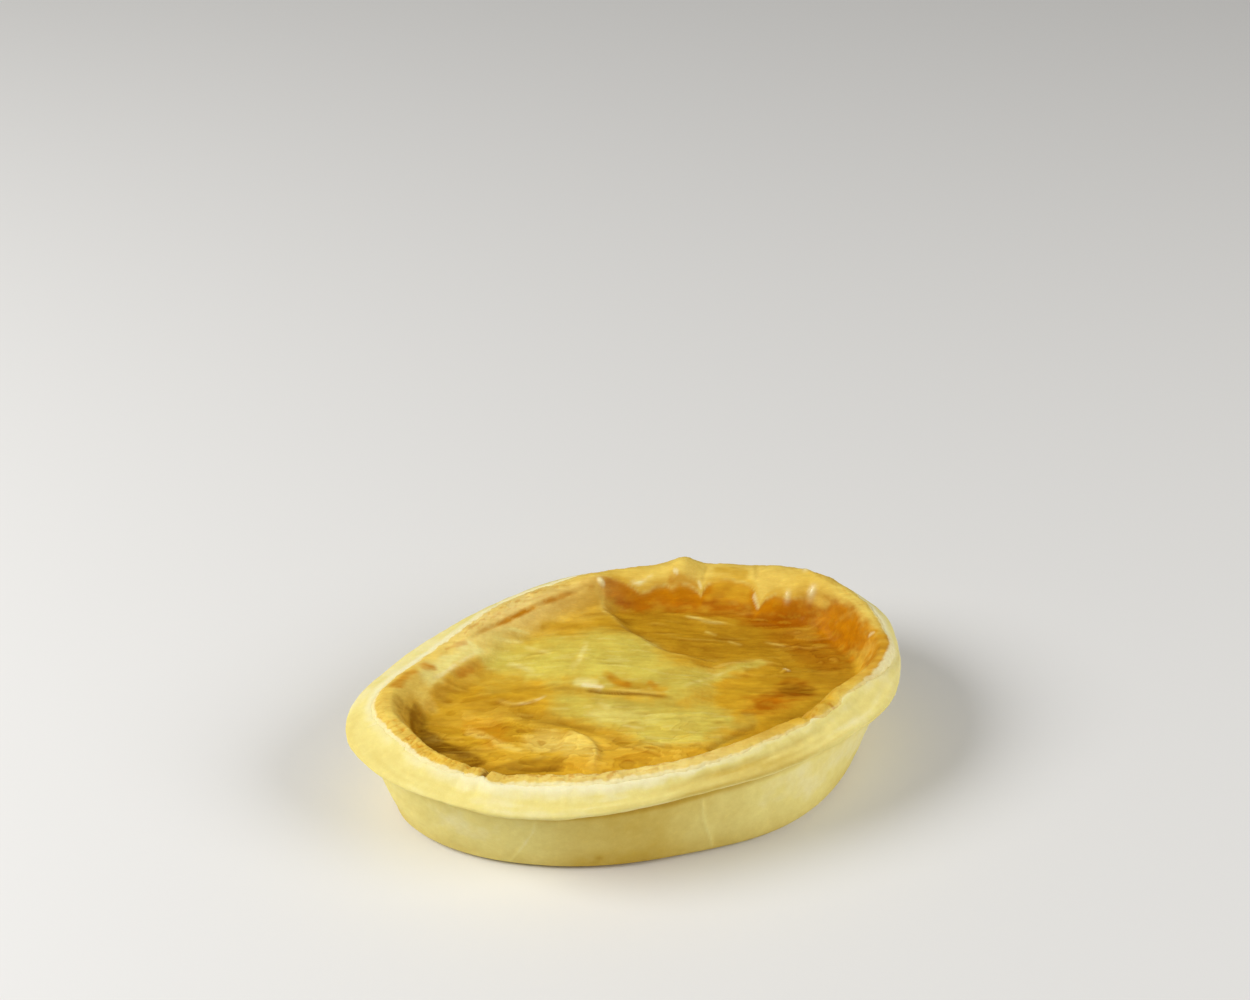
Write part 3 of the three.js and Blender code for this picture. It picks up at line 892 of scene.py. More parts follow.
# %% Tones of the lid
def linear_colour(shown):
    """A colour as it shows on screen, from 0 to 255, as the linear colour that a shader wants."""
    shares = np.array(shown) / 255
    return np.where(shares <= 0.04045, shares / 12.92, ((shares + 0.055) / 1.055) ** 2.4)


SCREEN_TONES = {
    "cream": (252, 240, 184),
    "primrose": (238, 224, 136),
    "butter": (240, 208, 100),
    "straw": (215, 195, 84),
    "moss": (190, 171, 74),
    "honey": (218, 168, 42),
    "gold": (204, 156, 34),
    "olive": (180, 131, 22),
    "amber": (202, 129, 4),
    "toast": (176, 99, 0),
    "umber": (136, 90, 6),
}
TONES = {name: linear_colour(shown) for name, shown in SCREEN_TONES.items()}
print("tones:", ", ".join(TONES))

# %% [markdown]
# First come the broad strokes. The fields are the large areas of one tone, and the shades are what
# toasted further inside them, with painted shade and painted shadow at the feet of some walls and
# folds. A stroke's edge wanders by up to its own half width, and patches of noise let the tone below
# show through, so that no edge looks drawn.

# %% Fields of browning
FIELDS = [
    # The left floor, its blister and its far end.
    ([(-42, 5), (-34, 0), (-27, -8)], 11, "gold", 0.9),
    ([(-36, -9), (-28, -14), (-20, -17)], 5, "honey", 0.7),
    ([(-39, 12), (-31, 10)], 4, "gold", 0.7),
    ([(-36, 9), (-28, 4)], 2.4, "olive", 0.5),
    ([(-37, 3), (-33, 0), (-35, -3)], 2.6, "amber", 0.5),
    ([(-26, -8), (-22.8, -9.4), (-19, -12.4), (-17.4, -15)], 3, "butter", 0.85),
    ([(-39, 1.4), (-35.4, -1.6), (-33.8, -5), (-30.6, -8.5)], 0.9, "butter", 0.5),
    ([(-44, 14), (-44.6, 9.6), (-45.4, 6)], 1.2, "honey", 0.7),
    # The golden back, the well, the right floor and the near floor.
    ([(-24, 26), (-10, 28.5), (2, 28)], 5, "honey", 0.9),
    ([(-24, 25), (-11, 27.4), (1, 27)], 3.4, "butter", 0.3),
    ([(10, 24), (18, 16), (30, 8)], 10, "olive", 0.95),
    ([(40, 9), (44, -4)], 9, "olive", 0.9),
    ([(44, 8), (47, -3)], 6, "toast", 0.45),
    ([(-22, -17), (-8, -19.5), (10, -20.5)], 5, "honey", 0.85),
    ([(15, -10), (23, -8), (31, -5)], 4, "gold", 0.8),
    # The pale dome, the pale leaf in front of its fold and the right ridge.
    ([(-26, 18.5), (-14, 15.5), (-4, 12.5), (4, 9.5)], 6.6, "straw", 0.95),
    ([(-24.6, 17), (-18, 12), (-11, 7.3), (-5, 4.6)], 3, "straw", 0.95),
    ([(-6, 8), (4, 2.5), (13, -2)], 5, "straw", 0.95),
    ([(-15, 1), (-8, -4.5), (2, -10.5), (12, -14)], 4.8, "straw", 0.95),
    ([(-10, -4), (-3, -8), (5, -13), (10, -16)], 2.6, "primrose", 0.35),
    ([(-2, -13), (6, -16), (12, -17.5)], 4.4, "straw", 0.95),
    ([(7.3, -5.1), (14.9, -3.3), (20.7, -1.4), (25.7, -0.3), (31, -0.2)], 1.5, "straw", 0.85),
    # The near right floor, and painted shade at the foot of the right ridge.
    ([(22, -22.5), (32, -21), (42, -17)], 3.6, "gold", 0.9),
    ([(24, -21.5), (34, -19.8)], 2.5, "olive", 0.3),
    ([(30, -5.8), (36, -5.9), (41, -6)], 2.2, "olive", 0.6),
]
print("fields:", len(FIELDS))

# %% Shades of browning and painted shade
SHADES = [
    # The toasted slope at the back and right, and its lighter stretch just below the tear.
    ([(9, 31.5), (15.5, 29.6), (24.5, 26), (33, 21), (38.3, 16.5), (43.3, 14.5)], 2.8, "toast", 0.9),
    ([(43.3, 14.5), (50.4, 8.1), (54, -2)], 3.2, "toast", 0.85),
    ([(52, 6), (53.4, 1)], 2, "amber", 0.75),
    ([(11, 32.4), (20, 30.4), (26, 27.6), (31, 25.4), (37, 21.8), (42, 17)], 1.5, "amber", 0.75),
    ([(29, 26.6), (33, 25), (37.5, 22)], 1.7, "honey", 0.75),
    ([(52, 6), (55, -3), (57, -10), (53.6, -14.6), (49.6, -17.2)], 3, "amber", 0.9),
    # Painted shade where the dome's edge falls to the toasted slope.
    ([(4.6, 31.6), (8, 32.4), (13, 31.6)], 1.2, "amber", 0.7),
    # The patch on the right, the feet of the left and near inner walls, the brown band below the fold and
    # painted shadow beside it, with painted shade where noted.
    ([(25, -14.4), (30.7, -13.5), (36, -12.4)], 3.2, "toast", 0.9),
    ([(33.4, -10.9), (35.6, -11), (38, -12.6)], 1.4, "umber", 0.75),
    # Browning with painted shade at the foot of the left inner wall.
    ([(-49.6, 9), (-49.2, 5), (-47.6, 1.4), (-45.6, -1.6), (-42.4, -5.4), (-40, -8.5)],
     2.4, "umber", 0.85),
    ([(-41.6, -8), (-36.5, -12), (-31, -14.6), (-25, -16.4)], 2, "umber", 0.5),
    # Painted shade in the gap behind the near rim.
    ([(-40, -12), (-35.6, -15.2), (-31, -15.8), (-27, -16.8)], 0.5, "umber", 0.6),
    # The brown band along the leaf's edge below the fold, partly painted shade.
    ([(-27, 2), (-23, -0.8), (-18.4, -4), (-12.3, -9.4), (-5.8, -16.4)], 1.5, "olive", 0.6),
    # Painted shadow to the left of the middle fold.
    ([(-25, 8.4), (-20.2, 6.8), (-16, 5), (-12, 3.2)], 1.2, "olive", 0.55),
    # The ledge at the left: pale on top, orange inside, and marks on the rim beside it.
    ([(-47, 15), (-43, 17.2), (-37.6, 19.9), (-30, 22.6)], 3, "butter", 0.9),
    ([(-44, 16.6), (-38, 19.8), (-32, 22)], 2, "primrose", 0.8),
    ([(-50.6, 12.4), (-48, 13.4), (-46, 12)], 1.8, "butter", 0.5),
    ([(-51.4, 14.6), (-49.6, 16.2), (-47, 17.4)], 1.2, "amber", 0.75),
    ([(-43.8, 18.4), (-42.4, 18)], 1, "amber", 0.9),
    ([(-31.5, 17), (-28, 13.5), (-25, 11.5)], 2, "gold", 0.7),
    ([(-39, 14.8), (-35.8, 16.7), (-31.6, 18)], 1.4, "honey", 0.85),
    ([(-36.6, 16.4), (-33, 17.6)], 0.6, "amber", 0.6),
    ([(-37.6, 23), (-33, 23.9)], 0.6, "amber", 0.65),
]
print("shades:", len(SHADES))

# %% Paint the broad strokes
MOST_WANDER = 2.2
STROKE_CORE, STROKE_EDGE = 0.3, 1.6
BORDER_COVER, BORDER_WIDTH = 0.4, 2
PATCH_SIZE, PATCH_EDGE = (5, 1.5, 1.5), (-0.5, 0.2)


def paint(colours, share, tone):
    return mix(colours, TONES[tone], np.clip(share, 0, 1)[:, None])


def paint_strokes(colours, strokes, wandering, broken, fading=False):
    """Strokes with wandering edges, broken up in patches. A fading one also has a buttery border."""
    breaks = mix(1, patches, broken)
    for path, half_width, tone, cover in strokes:
        distance, along, _ = beside_path(lid_x, lid_y, path)
        uneven = distance + wandering * wander * min(half_width, MOST_WANDER)
        share = cover * breaks * (1 - smooth(uneven, STROKE_CORE * half_width, STROKE_EDGE * half_width))
        if fading:
            fade = np.sin(math.pi * along)
            border = bump(distance, BORDER_WIDTH * half_width)
            colours = paint(colours, BORDER_COVER * cover * fade * border, "butter")
            share *= fade
        colours = paint(colours, share, tone)
    return colours


patches = smooth(grain(rolled, PATCH_SIZE, seed=22, octaves=4), *PATCH_EDGE)
tint = np.tile(TONES["butter"], (len(lid_points), 1))
tint = paint(tint, down, "honey")
tint = paint_strokes(tint, FIELDS, wandering=1, broken=0.15)
tint = paint_strokes(tint, SHADES, wandering=1, broken=0.3)
print("mean tint after the broad strokes:", tint[on_top].mean(axis=0).round(3))

# %% [markdown]
# The small strokes are written down next, and painted after the rim's own tones, which lie below them.
# Spots have soft ends all round, and lines fade out at both ends, as a flake does where it joins the
# leaf below. The lip of the middle fold is pale and carries a painted highlight, so it is nearly white,
# and it waits until the mottling and the painted light are on.

# %% Spots of browning, a painted highlight and a painted shadow
SPOTS = [
    # A painted highlight on the drop, the peak at the back, the near right floor, the right roll, the
    # blister and the tear.
    ([(3.8, 33.5), (4.4, 32.9)], 0.5, "cream", 0.8),
    ([(23.6, 31.4), (26, 30.4)], 1.2, "butter", 0.7),
    ([(18, -18.4), (21, -18)], 2, "moss", 0.5),
    ([(11, -19.6), (14, -19)], 1.6, "honey", 0.5),
    ([(58.8, 6), (59.4, 1), (58.6, -5)], 1.5, "butter", 0.85),
    ([(-24, -9), (-20.6, -11.2), (-17.6, -14)], 2.4, "butter", 0.7),
    ([(32.6, 29), (35.2, 27.6), (37.6, 26)], 1.3, "gold", 0.7),
    ([(31, 26.4), (34.9, 24.4), (37.6, 22.4)], 1.1, "honey", 0.9),
    ([(21, 29.8), (26, 27.6)], 1, "amber", 0.7),
    # Painted shadow on the leaf in front of the fold, the fold's toasted spots and the dome's back edge.
    ([(-8.8, -1.2), (-0.7, -5.2), (7, -9.2)], 1.8, "moss", 0.6),
    ([(-5, 5), (-3, 3), (-1, 1), (2, -1)], 1.2, "gold", 0.7),
    ([(-4, 4.2), (-2.9, 2.3), (-1.6, 1.1)], 1, "amber", 0.7),
    ([(3.8, -0.2), (4.4, -1.9)], 0.9, "amber", 0.7),
    ([(-12.5, 26.6), (-8.3, 25.2), (-5.4, 23.2)], 1.2, "gold", 0.7),
    # White crumbs, and two small cuts in the near rim.
    ([(36, -3.8), (36.6, -4.6)], 0.4, "cream", 0.6),
    ([(22.2, 30.9), (22.6, 30.5)], 0.35, "cream", 0.7),
    ([(27.4, 28), (27.5, 27.2)], 0.35, "cream", 0.5),
    ([(38.7, 20.6), (38.9, 18.6)], 0.35, "cream", 0.6),
    ([(60.2, -0.6), (60.8, -0.2)], 0.4, "cream", 0.6),
    ([(56, -6.8), (56.6, -7.2)], 0.4, "cream", 0.5),
    ([(36.6, -26.2), (37.2, -27.2)], 0.4, "toast", 0.6),
    ([(31.6, -28.2), (32.2, -29.2)], 0.4, "toast", 0.6),
]
print("spots:", len(SPOTS))

# %% Lines of browning and painted highlights
LINES = [
    # These fade at both ends. Flecks on the back slope, and the line where it meets the roll.
    ([(-24, 26.6), (-19.5, 26), (-16.4, 25)], 0.45, "primrose", 0.8),
    ([(-26.4, 24.8), (-22, 23.5), (-18.6, 22.8)], 0.45, "primrose", 0.7),
    ([(-32, 24.4), (-26, 27), (-21.1, 28.2), (-12.9, 30.8), (-4.1, 32.3), (5, 33.2)],
     0.55, "amber", 0.95),
    # Painted highlights along the crest of the fold, on the dome's edge and on the rim of the blister.
    ([(-6, 1.2), (-3, -0.4), (1, -2.5), (6, -5.2)], 0.35, "butter", 0.7),
    ([(3.2, 34), (3.4, 29), (3, 24)], 0.9, "butter", 0.6),
    ([(2.7, 26), (4.8, 21), (7.6, 15), (11.8, 9.8), (15, 6.4), (24, 4.4)], 0.7, "butter", 0.45),
    ([(-19, -7.4), (-16.4, -10), (-14.9, -13.3), (-15.6, -16.3), (-18, -20.6)], 0.8, "butter", 0.7),
    # Streaks on the dome, on the leaf in front of the fold and on the right ridge.
    ([(-5.4, 16.6), (-8.8, 12.1), (-12.6, 8.4)], 0.6, "primrose", 0.8),
    ([(-25, 17.6), (-22.5, 14.9), (-19.7, 11.7)], 0.8, "primrose", 0.7),
    ([(-19.6, 21.2), (-16.8, 18.5), (-14.2, 15.9)], 0.5, "primrose", 0.6),
    ([(-9.6, -1), (-7, -3.7)], 0.6, "primrose", 0.6),
    ([(-6.8, -9.4), (-2, -12.5)], 0.4, "primrose", 0.7),
    ([(10, -4.5), (14.9, -3), (20.7, -1.1), (26, 0)], 0.5, "primrose", 0.6),
    # The torn flake; a painted highlight along the left ledge's edge; pale leaf edges in the well and on
    # the left floor, partly painted highlight; the ridge's far side.
    ([(11, 32.6), (13.6, 31.9), (17.4, 32.4)], 0.35, "cream", 0.7),
    ([(-43.4, 15.2), (-40, 16.6), (-36, 18.6), (-30.4, 21)], 0.4, "cream", 0.5),
    ([(21.4, 22.4), (24.2, 19.8), (26, 18.4), (30.4, 16.7)], 0.35, "primrose", 0.7),
    ([(23.8, 15.9), (26.4, 13.6)], 0.4, "butter", 0.6),
    ([(27.6, 10.8), (30.6, 8.3)], 0.35, "butter", 0.6),
    ([(36, 8.4), (40.4, 5)], 0.35, "butter", 0.5),
    ([(-30.4, 8), (-27, 4.9), (-21.9, 4.2), (-19.6, 5)], 0.3, "cream", 0.4),
    ([(16, -0.6), (23.3, 2.1), (30.7, 1.2), (34.5, -1)], 0.6, "butter", 0.4),
]
# The lip of the middle fold: pale dough with a painted highlight.
FOLD_LIP_HIGHLIGHT = [
    ([(-11.6, 5.3), (-9.6, 4.6), (-8.2, 4)], 1.1, "primrose", 0.85),
    ([(-10.6, 4.3), (-8.6, 3.2), (-7.2, 2.4)], 0.6, "cream", 0.75),
]
print("lines:", len(LINES + FOLD_LIP_HIGHLIGHT))

# %% [markdown]
# The rim has its own order: the leaf above the tear is buttery, the leaf below it amber, and the roll
# is toasted in its cracks and on its loose crumbs. Each of these is a coat: a mask that the shape
# already gave, how well it covers, and a tone. Coats go on in the order of the list.

# %% Browning of the rim
ROLL_TOAST = [(204, 0.75, 18), (150, 0.2, 12), (302, 1, 22), (342, 0.5, 12), (110, 0.2, 22)]
TOAST_BAND = (2.6, 2)
PALE_ROLLS = [(258, 0.3, 24), (110, 0.32, 22)]
# How far from the tear, in millimetres, each tone comes in or goes out.
AMBER_IN, AMBER_OUT, HONEY_IN, BUTTER_IN = (-0.1, 0.25), (1, 3), (-0.15, 0.25), (0.1, 1.5)
HONEY_SPREAD = 1.6


def paint_coats(colours, coats):
    for mask, cover, tone in coats:
        colours = paint(colours, cover * mask, tone)
    return colours


rim = 1 - down
below_tear = torn * smooth(-tear, *AMBER_IN) * (1 - smooth(-tear, *AMBER_OUT))
above_tear = np.clip(HONEY_SPREAD * torn, 0, 1) * smooth(tear, *HONEY_IN)
tint = paint_coats(tint, [
    (rim * on_roll(ROLL_TOAST, TOAST_BAND, lid_turn, lid_inside), 1, "honey"),
    (rim * swell(PALE_ROLLS, lid_turn), 1, "cream"),
    (below_tear, 0.8, "amber"),
    (above_tear, 0.9, "honey"),
    (torn * smooth(tear, *BUTTER_IN), 0.9, "butter"),
])
tint = paint_strokes(tint, SPOTS, wandering=0.5, broken=0.25)
tint = paint_strokes(tint, LINES, wandering=0.5, broken=0.75, fading=True)
tint = paint_coats(tint, [
    (cracks, 0.65, "amber"),
    (loose, 0.5, "butter"),
    (crumbs, 0.6, "amber"),
    # Painted shade in the grooves.
    (groove_painted_shade, 1, "umber"),
])
print("mean tint of the rim:", tint[on_top & (rim > 0.5)].mean(axis=0).round(3))

# %% [markdown]
# Streaks, terraces and flakes then break up every field, and the edges of leaves and the lips of terrace
# steps get a painted highlight, their feet painted shade. What bakes darker loses blue first and red
# last, so one number, for mottling and painted light together, can shade a tone without turning it grey.
# Fine threads, painted highlights on the edges of the leaves and pale tops of high terraces go on top,
# and the lip of the fold with its painted highlight, a painted highlight on the drops and the torn edge
# last.

# %% Mottle, leaves and their painted light
DARKENING = np.array([0.8, 1.1, 1.5])
LEAST_TINT, MOST_TINT = 0.3, 1.6
# How much green a place has, in linear colour, tells how pale it is.
PALE_GREEN = (0.36, 0.52)
STREAK_SHADE, PALE_CALM = 0.18, 0.7
BLOTCH_SHADE, BLOTCH_SIZE = 0.1, 3.5
CLOUD_SHADE, CLOUD_SIZE = 0.12, (14, 6, 6)
FLAKE_HIGHLIGHT_SHARE, FLAKE_FOOT_SHADE_SHARE = 0.3, 0.35
TERRACE_SHADE, TERRACE_DARKEST, TERRACE_LIGHTEST, STEP_HIGHLIGHT_AND_SHADE = 0.6, -0.2, 0.16, 0.12
TERRACE_BUTTER, HIGH_TERRACE = 0.3, (0.45, 0.8)
THREAD_SIZE, THREAD_EDGE = (7, 0.9, 0.9), (0.3, 0.5)
TORN_EDGE, TORN_LINE = (0.3, 0.5), (0.12, 0.2)

pale = smooth(tint[:, 1], *PALE_GREEN)
mottle_and_painted_light = STREAK_SHADE * streaks * (1 - PALE_CALM * pale)
mottle_and_painted_light += BLOTCH_SHADE * grain(lid_points, BLOTCH_SIZE, seed=15)
mottle_and_painted_light += CLOUD_SHADE * grain(rolled, CLOUD_SIZE, seed=18, octaves=2)
# A painted highlight on the edges of the curled leaves, and painted shade at their feet.
mottle_and_painted_light += down * (FLAKE_HIGHLIGHT_SHARE * flake_edge_highlight - FLAKE_FOOT_SHADE_SHARE * flake_foot_shade)
step_shade = np.clip(TERRACE_SHADE * (steps - steps.mean()), TERRACE_DARKEST, TERRACE_LIGHTEST)
# A painted highlight on the lips of the terrace steps, and painted shade at their feet.
mottle_and_painted_light += down * flaky * (step_shade + STEP_HIGHLIGHT_AND_SHADE * (step_lip_highlight - step_foot_shade))
tint = tint * np.clip(1 + mottle_and_painted_light[:, None] * DARKENING, LEAST_TINT, MOST_TINT)
high_steps = (flaky - LEAST_FLAKY) * smooth(steps, *HIGH_TERRACE)
leaf_highlights_and_pale_tops = FLAKE_HIGHLIGHT_SHARE * flake_edge_highlight + TERRACE_BUTTER * high_steps
threads = down * smooth(grain(rolled, THREAD_SIZE, seed=24, octaves=2), *THREAD_EDGE)
tint = paint_coats(tint, [
    # Painted highlights on the edges of the leaves, and pale tops of the high terraces.
    (down * leaf_highlights_and_pale_tops, 1, "butter"),
    ((1 - pale) * threads, 0.35, "gold"),
    (pale * threads, 0.22, "primrose"),
])
# The painted highlight on the lip of the middle fold.
tint = paint_strokes(tint, FOLD_LIP_HIGHLIGHT, wandering=0.2, broken=0)
tint = paint_coats(tint, [
    # A painted highlight on the drops, as cream, besides their real gloss.
    (drops, 0.7, "cream"),
    (torn * bump(tear - TORN_EDGE[0], TORN_EDGE[1]), 0.35, "butter"),
    (torn * patches * bump(tear - TORN_LINE[0], TORN_LINE[1]), 0.35, "primrose"),
])
print("mottle from", mottle_and_painted_light.min().round(2), "to", mottle_and_painted_light.max().round(2))

# %% [markdown]
# The cut edge of the lid is raw dough, nearly white, and as wide as the knife left it. It gets its own
# mask, because raw dough is also dry: the gloss of the egg wash leaves it out. One deep nick in the
# near rim gets painted shade.

# %% The raw cut edge
RAW_EDGES = [(336, 1, 7), (358, 0.4, 10), (200, 0.35, 34), (250, 0.3, 16), (128, 0.6, 9)]
BARE_TURNS = [(42, 0.9, 34), (308, 0.6, 16)]
RAW_WIDTH, RAW_WANDER, RAW_WANDER_SIZE = 0.5, 0.5, 2
RAW_START, RAW_END = 0.75, 1.25
LEAST_RAW_COVER, RAW_GAIN = 0.65, 2
SHADED_NICKS = [(219.3, 1, 1)]
NICK_BAND, NICK_COVER = (1.6, 1.8), 0.9

raw = swell(RAW_EDGES, lid_turn)
raw_wander = RAW_WANDER * grain(on_the_rim(lid_turn, lid_inside), RAW_WANDER_SIZE, seed=25)
raw_width = (RAW_WIDTH + raw) * (1 + raw_wander)
raw_top = 1 - smooth(lid_inside, RAW_START * raw_width, RAW_END * raw_width)
raw_edge = np.where(lid_under > 0, 1, raw_top) * (1 - swell(BARE_TURNS, lid_turn))
raw_cover = mix(LEAST_RAW_COVER, 1, np.clip(RAW_GAIN * raw, 0, 1))
tint = np.clip(paint(tint, raw_cover * raw_edge, "cream"), 0, 1)
# Painted shade in the deep nick of the near rim.
nick = rim * on_roll(SHADED_NICKS, NICK_BAND, lid_turn, lid_inside)
tint = paint(tint, NICK_COVER * nick, "umber")
print("mean tint of the lid:", tint[on_top].mean(axis=0).round(3))

# %% [markdown]
# Tint and gloss are stored on the vertices, where the material will read them. The egg wash dried to a
# thin film: a little more shine where the lid is toasted, a real gleam on the drops, and none on the
# raw edge.

# %% Store the lid's tint and gloss
TOASTED_GREEN = (0.12, 0.45)
FILM_GLOSS, TOASTED_GLOSS = 0.01, 0.02


def write_colours(mesh, name, colours):
    layer = mesh.attributes.new(name, "FLOAT_COLOR", "POINT")
    full = np.concatenate([colours, np.ones((len(colours), 1))], axis=1)
    layer.data.foreach_set("color", full.astype(np.float32).ravel())


toasted = 1 - smooth(tint[:, 1], *TOASTED_GREEN)
lid_gloss = np.clip((FILM_GLOSS + TOASTED_GLOSS * toasted + drops) * (1 - raw_edge), 0, 1)
write_colours(lid_mesh, "tint", tint)
write_floats(lid_mesh, "gloss", lid_gloss)
print("mean gloss of the lid:", lid_gloss[on_top].mean().round(2))

# %% [markdown]
# The case baked evenly and stayed pale. Its wall is more golden between its two creases and towards
# the foot, painted shadow darkens it just under the collar, and the collar has golden smears where egg
# wash ran down. The seam along the lid is dry and floury, the creases are pale, and there is one small
# brown spot. One number, the bake, says how far each place went, the painted shadow is added to it,
# and five stages of shortcrust give the colour.

# %% Bake of the case, with the painted shadow under its collar
CASE_BAKE = 0.13
BAKE_GRAIN = [(0.05, 9, 16), (0.025, 2.5, 17)]
WALL_TOP = (17, 21)
WALL_GOLD = [(252, 0.17, 17), (266, 0.08, 18), (150, 0.1, 40), (60, 0.12, 40)]
COLLAR_GOLD = [(281, 0.22, 18), (112, 0.05, 22), (134, -0.06, 20), (180, 0.07, 26)]
FOOT_GOLD, FOOT_GOLD_HEIGHT = 0.1, 9
COLLAR_SHADOW_TURNS = [(235, 0.18, 34), (272, 0.2, 26)]
TUCK_HEIGHT, TUCK_SPREAD = 18.5, 0.9
SMEARED_TURNS = [(285, 1, 40), (190, 0.4, 40)]
SMEAR_BAKE, SMEAR_SIZE = 0.12, (14, 1.1, 1)

case_height = case_points[:, 2]
on_wall = 1 - smooth(case_height, *WALL_TOP)
near_foot = 1 - smooth(case_height, 0, FOOT_GOLD_HEIGHT)
# A painted shadow on the wall, just under the collar's lip.
painted_shadow_under_collar = (1 - on_collar) * bump(case_height - TUCK_HEIGHT, TUCK_SPREAD)
smears = grain(on_the_rim(case_turn, collar_share * edge_inset), SMEAR_SIZE, seed=26)
smears *= np.clip(swell(SMEARED_TURNS, case_turn), 0, 1)
case_bake_and_shadow = CASE_BAKE + layered_grain(case_points, BAKE_GRAIN)
case_bake_and_shadow += on_wall * (swell(WALL_GOLD, case_turn) + FOOT_GOLD * near_foot)
case_bake_and_shadow += on_collar * (swell(COLLAR_GOLD, case_turn) + SMEAR_BAKE * smears)
case_bake_and_shadow += painted_shadow_under_collar * swell(COLLAR_SHADOW_TURNS, case_turn)
print("bake of the case from", case_bake_and_shadow.min().round(2), "to", case_bake_and_shadow.max().round(2))

# %% Seam and colour of the case
# Each stage: the bake, and the colour as it shows on screen.
CRUST_STAGES = [
    (0.0, (252, 244, 200)), (0.15, (242, 226, 140)), (0.42, (210, 178, 78)),
    (0.68, (178, 130, 44)), (0.95, (130, 84, 22)),
]
WET_SEAMS = [(318, 0.8, 26), (118, 0.3, 26), (184, 0.55, 28)]
SEAM_START, SEAM_WANDER, SEAM_WANDER_SIZE = (0.5, 0.85), 0.1, 4
SEAM_PALE, CREASE_PALE, SPLIT_PALE = 0.85, 0.3, 0.2
SPOT_TURN, SPOT_HEIGHT, SPOT_SIZE, SPOT_BAKE = math.radians(249), 4.2, 0.8, 0.16
CASE_GLOSS = 0.1

seam = smooth(collar_share + SEAM_WANDER * grain(case_points, SEAM_WANDER_SIZE, seed=20), *SEAM_START)
seam *= on_collar * (1 - swell(WET_SEAMS, case_turn))
pale_lines = SEAM_PALE * seam + CREASE_PALE * crease + SPLIT_PALE * split
case_bake_and_shadow = mix(case_bake_and_shadow, 0, np.clip(pale_lines, 0, 1))
spot_distance = np.hypot((case_turn - SPOT_TURN) * arc, case_height - SPOT_HEIGHT)
case_bake_and_shadow = np.clip(case_bake_and_shadow + SPOT_BAKE * bump(spot_distance, SPOT_SIZE), 0, 1)
stages, shown_colours = zip(*CRUST_STAGES)
channels = zip(*(linear_colour(shown) for shown in shown_colours))
case_tint = np.stack([np.interp(case_bake_and_shadow, stages, list(channel)) for channel in channels], axis=-1)
write_colours(case_mesh, "tint", case_tint)
write_floats(case_mesh, "gloss", CASE_GLOSS * (1 - seam))
print("mean bake of the case:", case_bake_and_shadow.mean().round(2))

# %% [markdown]
# Baked dough has a grain too fine for the mesh: pin-head bubbles on the shortcrust, thin fibres on the
# puff pastry. It is a shader node group that both pastries use: it darkens the painted tint in speckles
# in the hollows of the grain, partly as painted shade, lightens it in flecks on the tops, partly as
# painted highlight, and makes a height for the bump. The fibres are the same noise on stretched
# coordinates, so each material brings its own coordinates, scale and strength.

# %% Helpers for shader nodes
def add_node(tree, kind, **settings):
    node = tree.nodes.new(kind)
    for name, value in settings.items():
        setattr(node, name, value)
    return node


def plug(tree, source, socket):
    if isinstance(source, bpy.types.NodeSocket):
        tree.links.new(source, socket)
    else:
        socket.default_value = source


def arithmetic(tree, operation, first, second):
    node = add_node(tree, "ShaderNodeMath", operation=operation)
    plug(tree, first, node.inputs[0])
    plug(tree, second, node.inputs[1])
    return node.outputs[0]


def add_noise(tree, coordinates, scale, detail):
    texture = add_node(tree, "ShaderNodeTexNoise")
    texture.inputs["Detail"].default_value = detail
    plug(tree, coordinates, texture.inputs["Vector"])
    plug(tree, scale, texture.inputs["Scale"])
    return texture.outputs["Fac"]


def ramp_from(tree, value, start, end):
    """A soft ramp from 0 at the start value to 1 at the end value."""
    node = add_node(tree, "ShaderNodeMapRange", interpolation_type="SMOOTHSTEP")
    node.inputs["From Min"].default_value = start
    node.inputs["From Max"].default_value = end
    plug(tree, value, node.inputs["Value"])
    return node.outputs["Result"]


# A Mix node keeps sockets for every kind of data, so those for colours go by number.
MIX_SHARE, MIX_FIRST, MIX_SECOND, MIX_RESULT = 0, 6, 7, 2


def multiply_colours(tree, share, first, second):
    node = add_node(tree, "ShaderNodeMix", data_type="RGBA", blend_type="MULTIPLY")
    plug(tree, share, node.inputs[MIX_SHARE])
    plug(tree, first, node.inputs[MIX_FIRST])
    plug(tree, second, node.inputs[MIX_SECOND])
    return node.outputs[MIX_RESULT]


print("colour sockets of a Mix node:", MIX_FIRST, "and", MIX_SECOND)

# %% Node group for crumbly grain and its painted shading
COARSE_DETAIL, FINE_DETAIL = 3, 2
FINER, FINE_HEIGHT = 3.7, 0.6
# Speckles sit in the hollows of the grain, partly painted shade, and flecks on its tops, partly painted
# highlight: the colour, and where they come in.
SPECK_AND_HOLLOW_SHADE_COLOUR, SPECK_AND_HOLLOW_SHADE_HEIGHTS = (0.7, 0.58, 0.32, 1), (0.95, 0.6)
FLECK_AND_TOP_HIGHLIGHT_COLOUR, FLECK_AND_TOP_HIGHLIGHT_HEIGHTS = (1.6, 1.55, 1.3, 1), (0.88, 1.2)


